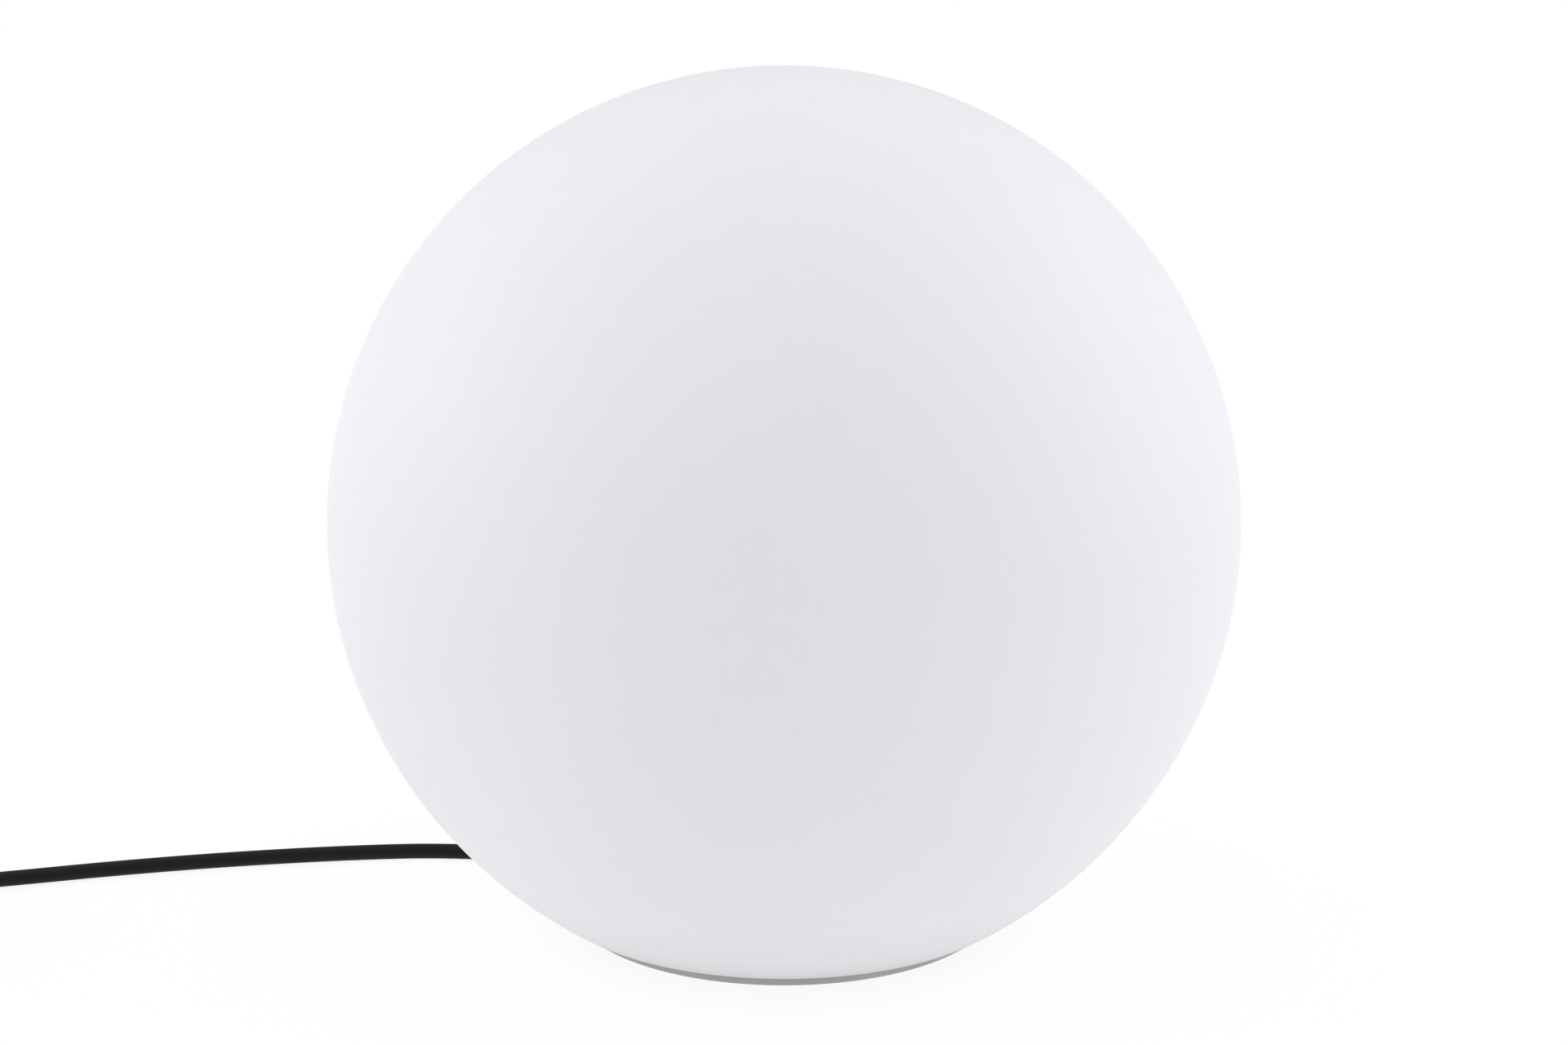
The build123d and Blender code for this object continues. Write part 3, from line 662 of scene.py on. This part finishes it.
for k in (1, 2, 4, 5):
    rib = turn_base(loft_bm(block(36.0, 73.0, -1.0, 1.0, 24.0, 31.8)), 60 * k)
    me = bpy.data.meshes.new("rib")
    rib.to_mesh(me)
    rib.free()
    bm.from_mesh(me)
    bpy.data.meshes.remove(me)
cut(tray, [from_bm("tool", bm)], "UNION")
bm = turn_base(loft_bm(block(-26, 26, -26, 26, 3.0, 40.0, 3.0)))
for k in range(4):
    loft_bm([round_row(6.6, z, 32, *polar(FOOT_R, EXIT_DEG + 45 + 90 * k)) for z in (-2.0, 3.4)], bm=bm)
    loft_bm([round_row(2.3, z, 24, *polar(SCREW_R, EXIT_DEG + 22.5 + 90 * k)) for z in (10.0, 24.0)], bm=bm)
for k in (1, -1):
    loft_bm([round_row(2.0, z, 20, *polar(38.0 * k, EXIT_DEG + 90)) for z in (21.0, 40.0)], bm=bm)
notch = turn_base(loft_bm(block(BASE_R - 8, BASE_R + 4, -4.8, 4.8, -3.0, 10.0)))
hole = loft_bm([round_row(8.2, z, 40) for z in (-4.0, 4.0)])
bmesh.ops.transform(hole, verts=hole.verts[:], matrix=Matrix.Translation((27.5 * MM, 0, GLAND_Z * MM)) @ Matrix.Rotation(pi / 2, 4, "Y"))
cut(tray, [from_bm("tool", bm), from_bm("tool", notch), from_bm("tool", turn_base(hole))])
seat = lathe("seat", fillet_outline([(0, 2.6), (5.0, 2.6), (5.0, 5.0, 0.3), (1.5, 5.0, 0.2), (1.5, 11.0, 0.3), (0, 11.0)], False), 32, False)
seat.data.transform(Matrix.Translation((*[c * MM for c in polar(-6.0, EXIT_DEG)], 0)))
cut(tray, [seat], "UNION")
even_normals(tray)
stand_in(tray, "base_grey", "base", "base_tray")

# cable gland: threaded body with its hexagon, and the ribbed nut that grips the lead
def round_the_axis(name, profile, seg, sharp=32.0):
    """Ring about the gland's axis from a closed profile of (distance along it, radius or radius by angle)."""
    bm = bmesh.new()
    rings = []
    for x, r in profile:
        ring = []
        for k in range(seg):
            t = 2 * pi * k / seg
            rr = r(t) if callable(r) else r
            ring.append(bm.verts.new((x * MM, rr * cos(t) * MM, (GLAND_Z + rr * sin(t)) * MM)))
        rings.append(ring)
    for a, b in zip(rings, rings[1:] + rings[:1]):
        for k in range(seg):
            j = (k + 1) % seg
            bm.faces.new((a[k], a[j], b[j], b[k]))
    return from_bm(name, turn_base(bm), sharp)


def six_sides(limit, flat=9.5):
    """Radius of a hexagon whose corners are turned off at the limit."""
    return lambda t: min(flat / cos(t % (pi / 3) - pi / 6), limit)


def ribbed(r, deep):
    return lambda t: r - deep * (0.5 - 0.5 * cos(16 * t)) ** 2


nut = [(35.0, 7.3), (35.0, six_sides(9.6)), (35.35, six_sides(10.2)), (35.8, six_sides(10.98)), (43.9, six_sides(10.98)), (44.5, six_sides(10.0)), (44.75, six_sides(9.5)), (44.9, 9.05)]
nut += [(45.2, 8.98), (45.5, 8.95)] + [(x, ribbed(r, 0.42 * f)) for x, r, f in ((45.9, 8.90, 0.4), (46.4, 8.82, 1.0), (47.6, 8.58, 1.0), (48.8, 8.22, 1.0), (49.9, 7.74, 1.0), (50.9, 7.14, 0.9), (51.7, 6.55, 0.4))]
nut += [(52.2, 6.10), (52.65, 5.55), (52.92, 4.95), (53.0, 4.5), (52.85, 4.15), (52.4, 3.9), (46.0, 3.9), (46.0, 6.0), (44.3, 6.0), (44.3, 7.3)]
stand_in(round_the_axis("gland_nut", nut, 96, 36), "gland_nylon", "base", "gland_cap")
stem = [(19.0, 4.0), (19.0, 7.2), (19.3, 7.45)]
stem += [(19.6 + 0.1875 * k, (lambda t, x=19.6 + 0.1875 * k: 7.92 - 0.45 * abs(2 * ((x / 1.5 - t / (2 * pi)) % 1.0) - 1))) for k in range(54)]
stem += [(29.9, 7.5), (30.2, 7.5), (30.2, six_sides(10.3)), (30.55, six_sides(10.98)), (34.3, six_sides(10.98)), (34.7, six_sides(10.2)), (34.7, 7.2), (44.0, 7.2), (44.0, 5.9), (36.0, 5.9), (36.0, 4.0)]
stand_in(round_the_axis("gland_stem", stem, 96, 36), "gland_nylon", "base", "gland_body")

# ---------------------------------------------------------------- lamp
# The lamp's and the holder's threads have one phase, so they stay in mesh as the lamp turns and rises.
def groove(z, turn):
    return 0.5 - 0.5 * cos(2 * pi * (z / THREAD_LEAD - turn))


SEG = 96
rows = [round_row(11.3, 64.82, SEG), round_row(11.8, 64.9, SEG), round_row(12.1, 65.2, SEG)]
for k in range(101):
    z = 65.6 + (85.4 - 65.6) * k / 100
    low = min(1.0, max(0.0, (z - 65.6) / 1.6))
    top = min(1.0, max(0.0, (83.6 - z) / 1.4))
    mark = max(0.0, 1 - abs(z - 84.6) / 0.55)

    def radius(j, z=z, low=low, top=top, mark=mark):
        d = groove(z, j / SEG)
        r = 12.12 + 0.86 * low * (1 - d * top) if low < 1 else 12.98 - 0.86 * d * top
        punch = max(0.0, 1 - abs((j % 12) - 6) / 1.3)
        return r - 0.42 * mark * punch
    rows.append(round_row(radius, z, SEG))
rows += [round_row(12.9, 85.8, SEG), round_row(12.7, 86.0, SEG), round_row(12.15, 86.0, SEG), round_row(11.96, 85.8, SEG),
         round_row(11.96, 66.0, SEG), round_row(11.4, 65.5, SEG)]
cap = from_bm("lamp_cap", loft_bm(rows), 50)
stand_in(cap, "nickel", "lamp", "bulb_cap")

glass = lathe("lamp_insulator", fillet_outline([(0, 61.2), (4.9, 61.2, 0.5), (8.6, 62.1, 3.0), (11.5, 64.0, 1.2), (11.5, 64.8), (0, 64.8)], False), 64, False)
stand_in(glass, "vitrite", "lamp", "bulb_insulator")
dot = lathe("lamp_contact", fillet_outline([(0, 59.72), (2.6, 59.85, 2.0), (4.2, 60.5, 0.6), (4.5, 61.2), (0, 61.2)], False), 48, False)
stand_in(dot, "nickel", "lamp", "bulb_contact")


def smooth_through(pts, n):
    """Catmull-Rom line through an outline's points."""
    out = []
    q = [pts[0]] + list(pts) + [pts[-1]]
    for a0, a1, a2, a3 in zip(q, q[1:], q[2:], q[3:]):
        for k in range(n):
            t = k / n
            out.append(tuple(0.5 * (2 * a1[i] + (a2[i] - a0[i]) * t + (2 * a0[i] - 5 * a1[i] + 4 * a2[i] - a3[i]) * t * t
                                    + (3 * a1[i] - a0[i] - 3 * a2[i] + a3[i]) * t ** 3) for i in (0, 1)))
    return out + [tuple(pts[-1])]


b = LAMP_Z + 26.3
skin = smooth_through([(13.55, b + 0.6), (14.0, b + 5), (15.8, b + 12), (19.0, b + 20), (23.0, b + 29), (26.2, b + 37), (27.45, JOIN_Z - 1.2)], 8)
outline = [(11.9, b - 17), (11.9, b, 0.1), (13.4, b, 0.35)] + skin + [(27.5, JOIN_Z - 0.35, 0.2), (27.2, JOIN_Z - 0.05, 0.2), (26.0, JOIN_Z - 0.05),
           (26.0, JOIN_Z - 3.45), (23.6, JOIN_Z - 3.45), (21.4, b + 29), (17.4, b + 20), (14.2, b + 12), (12.3, b + 5), (11.0, b), (11.0, b - 17)]
housing = lathe("lamp_housing", fillet_outline(outline, True, 4), 96, True, 40)
stand_in(housing, "lamp_white", "lamp", "bulb_housing")

d0 = degrees(math.asin((JOIN_Z + 0.15 - DOME_ZC) / DOME_R))
d1 = degrees(math.asin((JOIN_Z + 0.15 - DOME_ZC) / (DOME_R - 1.5)))
outer = arc_pts(0, DOME_ZC, DOME_R, d0 + 0.6, 90, 60)
outer[-1] = (0.0, DOME_ZC + DOME_R)
inside = arc_pts(0, DOME_ZC, DOME_R - 1.5, 90, d1, 40)
inside[0] = (0.0, DOME_ZC + DOME_R - 1.5)
foot = [(outer[0][0] - 0.35, JOIN_Z + 0.15), (outer[0][0] - 0.08, JOIN_Z + 0.28)]
dome = lathe("lamp_dome", inside + foot + outer, 96, False, 40)
stand_in(dome, "opal", "lamp_dome", "bulb_dome")

# what the lamp holds: plate with the light sources, and the driver board
plate = lathe("lamp_led_plate", fillet_outline([(2.6, JOIN_Z - 3.48, 0.2), (25.75, JOIN_Z - 3.48, 0.25), (25.75, JOIN_Z - 1.92, 0.25), (2.6, JOIN_Z - 1.92, 0.2)], True), 96, True)
cut(plate, [rod_tool(*polar(13.5, d), 1.35, JOIN_Z - 5, JOIN_Z - 1) for d in (15, 195)])
stand_in(plate, "led_board", "lamp", "bulb_led_plate")


def slab(hx, hy, z, corner, n=4):
    """Rounded rectangle of half sides hx, hy."""
    pts = []
    for sx, sy, d in ((1, 1, 0), (-1, 1, 90), (-1, -1, 180), (1, -1, 270)):
        pts += [(sx * (hx - corner) + corner * cos(radians(d + 90 * k / n)), sy * (hy - corner) + corner * sin(radians(d + 90 * k / n)), z)
                for k in range(n + 1)]
    return pts


bm = bmesh.new()
for count, r in ((12, 18.0), (6, 9.0)):
    for i in range(count):
        z0 = JOIN_Z - 1.9
        one = loft_bm([slab(1.70, 1.35, z0, 0.15), slab(1.75, 1.4, z0 + 0.08, 0.2), slab(1.75, 1.4, z0 + 0.60, 0.2), slab(1.68, 1.33, z0 + 0.69, 0.18),
                       slab(1.38, 1.06, z0 + 0.70, 0.3), slab(1.28, 0.96, z0 + 0.52, 0.3)])
        for f in one.faces:
            c = f.calc_center_median()
            if c.z > (z0 + 0.5) * MM and abs(c.x) < 1.36 * MM and abs(c.y) < 1.04 * MM:
                f.material_index = 1
        bmesh.ops.transform(one, verts=one.verts[:], matrix=Matrix.Rotation(2 * pi * i / count, 4, "Z") @ Matrix.Translation((r * MM, 0, 0)))
        me = bpy.data.meshes.new("led")
        one.to_mesh(me)
        one.free()
        bm.from_mesh(me)
        bpy.data.meshes.remove(me)
leds = from_bm("lamp_leds", bm)
stand_in(leds, "led_phosphor", "lamp", "bulb_leds")
leds.data.materials[0] = MAT["led_board"]
leds.data.materials.append(MAT["led_phosphor"])

board_z = LAMP_Z + 26.3
bm = bmesh.new()


def fit(rows, index, matrix=None):
    """Adds one component of the driver board, with its material."""
    one = loft_bm(rows)
    for f in one.faces:
        f.material_index = index
    if matrix is not None:
        bmesh.ops.transform(one, verts=one.verts[:], matrix=matrix)
    me = bpy.data.meshes.new("component")
    one.to_mesh(me)
    one.free()
    bm.from_mesh(me)
    bpy.data.meshes.remove(me)


def flat_on(side, y, z):
    """Places a component with its foot on the board's side, +1 or -1 in X."""
    return Matrix.Translation((0.8 * side * MM, y * MM, (board_z + z) * MM)) @ Matrix.Rotation(side * pi / 2, 4, "Y")


fit([slab(8.0, 22.0, -0.8, 0.8), slab(8.0, 22.0, 0.8, 0.8)], 0,
    Matrix.Translation((0, 0, (board_z + 8.0) * MM)) @ Matrix.Rotation(pi / 2, 4, "Y") @ Matrix.Rotation(pi / 2, 4, "Z"))
can = [(3.7, 0.0), (3.9, 0.3), (3.9, 1.6), (3.55, 2.0), (3.55, 2.4), (3.9, 2.8), (3.9, 12.6), (3.6, 13.0)]
fit([round_row(r, z, 40) for r, z in can], 1, Matrix.Translation((5.0 * MM, -2.6 * MM, (board_z + 10.0) * MM)))          # smoothing capacitor
fit([slab(3.9, 3.4, 0.0, 0.4), slab(3.9, 3.4, 1.4, 0.4), slab(3.1, 2.8, 1.4, 0.4), slab(3.1, 2.8, 5.0, 0.4), slab(3.9, 3.4, 5.0, 0.4), slab(3.9, 3.4, 6.4, 0.5)], 1,
    flat_on(-1, 1.4, 17.0))                                                                                              # transformer
fit([slab(1.95, 2.45, 0.0, 0.15), slab(1.95, 2.45, 1.3, 0.15), slab(1.75, 2.25, 1.5, 0.15)], 1, flat_on(1, 3.6, 2.0))    # controller
for k in (-1.5, -0.5, 0.5, 1.5):
    for e in (-1, 1):
        fit([slab(0.55, 0.2, 0.0, 0.05, 2), slab(0.55, 0.2, 0.25, 0.05, 2)], 2, flat_on(1, 3.6 + k * 1.1, 2.0 + 2.35 * e))
fit([slab(2.3, 2.3, 0.0, 0.3), slab(2.3, 2.3, 1.9, 0.3), slab(2.1, 2.1, 2.2, 0.3)], 1, flat_on(-1, -3.2, 2.0))           # rectifier
for y, z in ((-5.4, 26.0), (-1.8, 26.0), (1.8, 26.0), (5.4, 26.0), (5.6, 10.5), (5.6, 14.0)):
    fit([slab(0.62, 1.0, 0.0, 0.06, 2), slab(0.62, 1.0, 0.5, 0.06, 2)], 3, flat_on(1, y, z))                             # chip parts
    fit([slab(0.64, 0.3, 0.0, 0.06, 2), slab(0.64, 0.3, 0.52, 0.06, 2)], 2, flat_on(1, y + 0.85, z))
    fit([slab(0.64, 0.3, 0.0, 0.06, 2), slab(0.64, 0.3, 0.52, 0.06, 2)], 2, flat_on(1, y - 0.85, z))
driver = from_bm("lamp_driver", bm)
stand_in(driver, "driver_green", "lamp", "bulb_driver_board")
for slot in ("vitrite", "nickel", "core_brown"):
    driver.data.materials.append(MAT[slot])

# ---------------------------------------------------------------- lampholder
h = HOLDER_Z
outline = [(13.0, h, 0.4), (22.5, h, 0.9), (22.5, h + 25.6, 1.6), (20.5, h + 28.6, 1.6), (20.5, h + 45.4, 0.5), (20.1, h + 45.9, 0.3), (20.1, h + 47.1, 0.3),
           (20.5, h + 47.6, 0.5), (20.5, h + 54, 1.5), (15.25, h + 54, 0.9), (15.25, h + 20, 0.4), (0, h + 20), (0, h + 14), (13.0, h + 14, 0.4)]
holder = from_bm("holder_body", lathe_bm(fillet_outline(outline[:12], False) + fillet_outline([(0, h + 14), (13.0, h + 14, 0.4), (13.0, h + 0.4)], False), 96, True), 40)
cut(holder, [rod_tool(*polar(x, EXIT_DEG), r, z0, z1) for x, r, z0, z1 in ((-6.0, 1.6, h + 10, h + 24), (11.0, 1.6, h + 10, h + 24), (17.5, 2.0, h - 1, h + 11), (-17.5, 2.0, h - 1, h + 11))], sharp=40)
even_normals(holder)
stand_in(holder, "porcelain", "base", "lampholder_body")

rows = [round_row(10.0, h + 20.1, SEG), round_row(14.95, h + 20.1, SEG), round_row(14.95, h + 51.6, SEG), round_row(14.75, h + 51.95, SEG),
        round_row(14.2, h + 52.0, SEG), round_row(13.95, h + 51.7, SEG), round_row(13.9, h + 50.5, SEG)]
for k in range(101):
    z = h + 48.5 - (48.5 - 22.5) * k / 100
    ease = min(1.0, (h + 48.5 - z) / 1.5, (z - h - 22.5) / 1.5)

    def radius(j, z=z, ease=ease):
        return 13.9 - 0.35 * ease - 0.86 * ease * groove(z, j / SEG)
    rows.append(round_row(radius, z, SEG))
rows += [round_row(13.9, h + 21.4, SEG), round_row(13.4, h + 20.9, SEG), round_row(10.0, h + 20.9, SEG), round_row(10.0, h + 20.1, SEG)]
shell = from_bm("holder_thread", loft_bm(rows, False, False), 50)
bm = bmesh.new()
bm.from_mesh(shell.data)
bmesh.ops.remove_doubles(bm, verts=bm.verts[:], dist=1e-6)
bmesh.ops.recalc_face_normals(bm, faces=bm.faces[:])
bm.to_mesh(shell.data)
bm.free()
stand_in(shell, "brass_plain", "base", "lampholder_shell")

# spring tongue that meets the lamp's centre contact
line = smooth_through([(-8.5, h + 20.36), (-6.0, h + 20.36), (-3.6, h + 20.42), (-1.0, h + 21.75), (1.6, h + 22.95), (3.6, h + 23.17), (5.2, h + 23.1), (6.0, h + 22.85)], 5)
rows = []
for k, q in enumerate(line):
    q0, q1 = line[max(0, k - 1)], line[min(len(line) - 1, k + 1)]
    d = Vector((q1[0] - q0[0], q1[1] - q0[1])).normalized()
    wide = 3.0 if q[0] < 3.0 else 0.6 + 2.4 * sqrt(max(0.0, 1 - ((q[0] - 3.0) / 3.0) ** 2))
    rows.append([(q[0] - d.y * a, b, q[1] + d.x * a) for a, b in ((0.32, wide - 0.1), (0.22, wide), (-0.22, wide), (-0.32, wide - 0.1),
                                                                  (-0.32, -wide + 0.1), (-0.22, -wide), (0.22, -wide), (0.32, -wide + 0.1))])
tongue = from_bm("holder_tongue", turn_base(loft_bm(rows)), 40)
stand_in(tongue, "brass_plain", "base", "lampholder_contact")

# ---------------------------------------------------------------- screws and seal on the base
def cross(x, y, z0, z1, half, width):
    tools = []
    for k in (0, 1):
        bm = bmesh.new()
        bmesh.ops.create_cube(bm, size=1.0)
        bmesh.ops.scale(bm, verts=bm.verts[:], vec=((2 * half if k else width) * MM, (width if k else 2 * half) * MM, (z1 - z0) * MM))
        bmesh.ops.translate(bm, verts=bm.verts[:], vec=(x * MM, y * MM, (z0 + z1) / 2 * MM))
        tools.append(from_bm("tool", bm))
    return tools


heads = []
for s in (38.0, -38.0):
    x, y = polar(s, EXIT_DEG + 90)
    bm = lathe_bm(fillet_outline([(0, 24.0), (1.9, 24.0), (1.9, 36.0), (4.0, 36.0, 0.15), (4.0, 37.3, 1.1), (2.6, 38.45, 2.0), (0, 38.6)], False, 8), 48, False)
    bmesh.ops.translate(bm, verts=bm.verts[:], vec=(x * MM, y * MM, 0))
    heads.append(cut(from_bm("head", bm), cross(x, y, 37.2, 39.5, 2.2, 0.9)))
heads = join("bracket_pan_heads", heads)
stand_in(heads, "stainless", "base", "bracket_screws")

studs = []
for k in range(4):
    x, y = polar(SCREW_R, EXIT_DEG + 22.5 + 90 * k)
    bm = lathe_bm(fillet_outline([(0, 12.6), (2.9, 12.65, 1.5), (4.0, 13.6, 0.8), (4.0, 15.2, 0.15), (1.95, 15.2), (1.95, 16.6), (0, 16.6)], False, 6), 40, False)
    bmesh.ops.translate(bm, verts=bm.verts[:], vec=(x * MM, y * MM, 0))
    head = cut(from_bm("head", bm), cross(x, y, 11.0, 14.0, 2.2, 0.9))
    rows = []
    for j in range(121):
        z = 16.4 + (30.2 - 16.4) * j / 120
        e = min(1.0, max(0.0, (z - 16.4) / 0.8))
        run = min(1.0, max(0.0, (30.2 - z) / 0.7))
        rows.append(round_row(lambda i, z=z, e=e, run=run: (1.95 - 0.30 * (1 - run)) - 0.33 * e * run * abs(2 * ((z / 0.7 - i / 28) % 1.0) - 1), z, 28, x, y))
    rows += [round_row(1.45, 30.5, 28, x, y), round_row(1.2, 30.6, 28, x, y)]
    studs += [head, from_bm("stud", loft_bm(rows), 60)]
studs = join("base_cross_screws", studs, 40)
stand_in(studs, "stainless", "base", "base_screws")

pads = []
for k in range(4):
    x, y = polar(FOOT_R, EXIT_DEG + 45 + 90 * k)
    bm = lathe_bm(fillet_outline([(0, 3.38), (6.45, 3.38, 0.2), (6.45, 0.8, 0.5), (5.8, 0.0, 0.5), (4.7, 0.0, 0.12), (4.4, 0.5, 0.12), (3.8, 0.5, 0.12), (3.5, 0.0, 0.12),
                                  (2.3, 0.0, 0.12), (2.0, 0.5, 0.12), (1.4, 0.5, 0.12), (1.1, 0.0, 0.12), (0, 0.0)], False, 4), 48, False)
    bmesh.ops.translate(bm, verts=bm.verts[:], vec=(x * MM, y * MM, 0))
    pads.append(from_bm("pad", bm))
stand_in(join("rubber_feet", pads), "seal_rubber", "base", "foot_pads")

seal = lathe("base_seal", fillet_outline([(78.3, 17.6, 0.2), (81.1, 17.6, 0.2), (81.1, 20.0, 1.1), (78.3, 20.0, 1.1)], True), 160, True)
stand_in(seal, "seal_rubber", "base", "base_gasket")

# ---------------------------------------------------------------- floor and light
bm = bmesh.new()
bmesh.ops.create_grid(bm, x_segments=4, y_segments=4, size=20.0)
bmesh.ops.translate(bm, verts=bm.verts[:], vec=(0, 0, -0.0003))
floor = from_bm("floor", bm)
fm, nt, b = material("floor_pale", 0.9, (0.10, 0.10, 0.10))
b.inputs["Emission Color"].default_value = (1, 1, 1, 1)
b.inputs["Emission Strength"].default_value = 0.900
b.inputs["Specular IOR Level"].default_value = 0.0
floor.data.materials.append(fm)

# soft white room: brighter to the left and right and overhead
world = bpy.data.worlds.new("world")
scene.world = world
world.use_nodes = True
nt = world.node_tree
bg = nt.nodes["Background"]
bg.inputs["Color"].default_value = (0.975, 0.985, 1.0, 1)
tc = nt.nodes.new("ShaderNodeTexCoord")
sep = nt.nodes.new("ShaderNodeSeparateXYZ")
nt.links.new(tc.outputs["Generated"], sep.inputs["Vector"])
side = math_node(nt, "MULTIPLY", math_node(nt, "MULTIPLY", sep.outputs["X"], sep.outputs["X"]), 1.115)
high = math_node(nt, "MULTIPLY", math_node(nt, "MULTIPLY", sep.outputs["Z"], sep.outputs["Z"]), 0.52)
nt.links.new(math_node(nt, "ADD", math_node(nt, "ADD", side, high), 0.45), bg.inputs["Strength"])


def softbox(name, loc, aim, size, power, color=(1, 1, 1)):
    data = bpy.data.lights.new(name, "AREA")
    data.shape = "RECTANGLE"
    data.size, data.size_y = size
    data.energy = power
    data.color = color
    ob = bpy.data.objects.new(name, data)
    scene.collection.objects.link(ob)
    ob.location = loc
    ob.rotation_mode = "QUATERNION"
    ob.rotation_quaternion = (Vector(aim) - Vector(loc)).to_track_quat("-Z", "Y")
    ob.visible_camera = False
    return ob


softbox("box_left", (-1.9, 0.4, 1.0), (0, 0, 0.2), (1.5, 1.3), 4.0)
softbox("box_right", (1.9, 0.4, 1.0), (0, 0, 0.2), (1.5, 1.3), 4.0)
softbox("box_top", (0, 0.5, 2.2), (0, 0, 0.1), (1.8, 1.4), 3.0)

scene.view_settings.view_transform = "Standard"
scene.view_settings.look = "None"
scene.view_settings.exposure = 0.0
scene.view_settings.gamma = 1.0
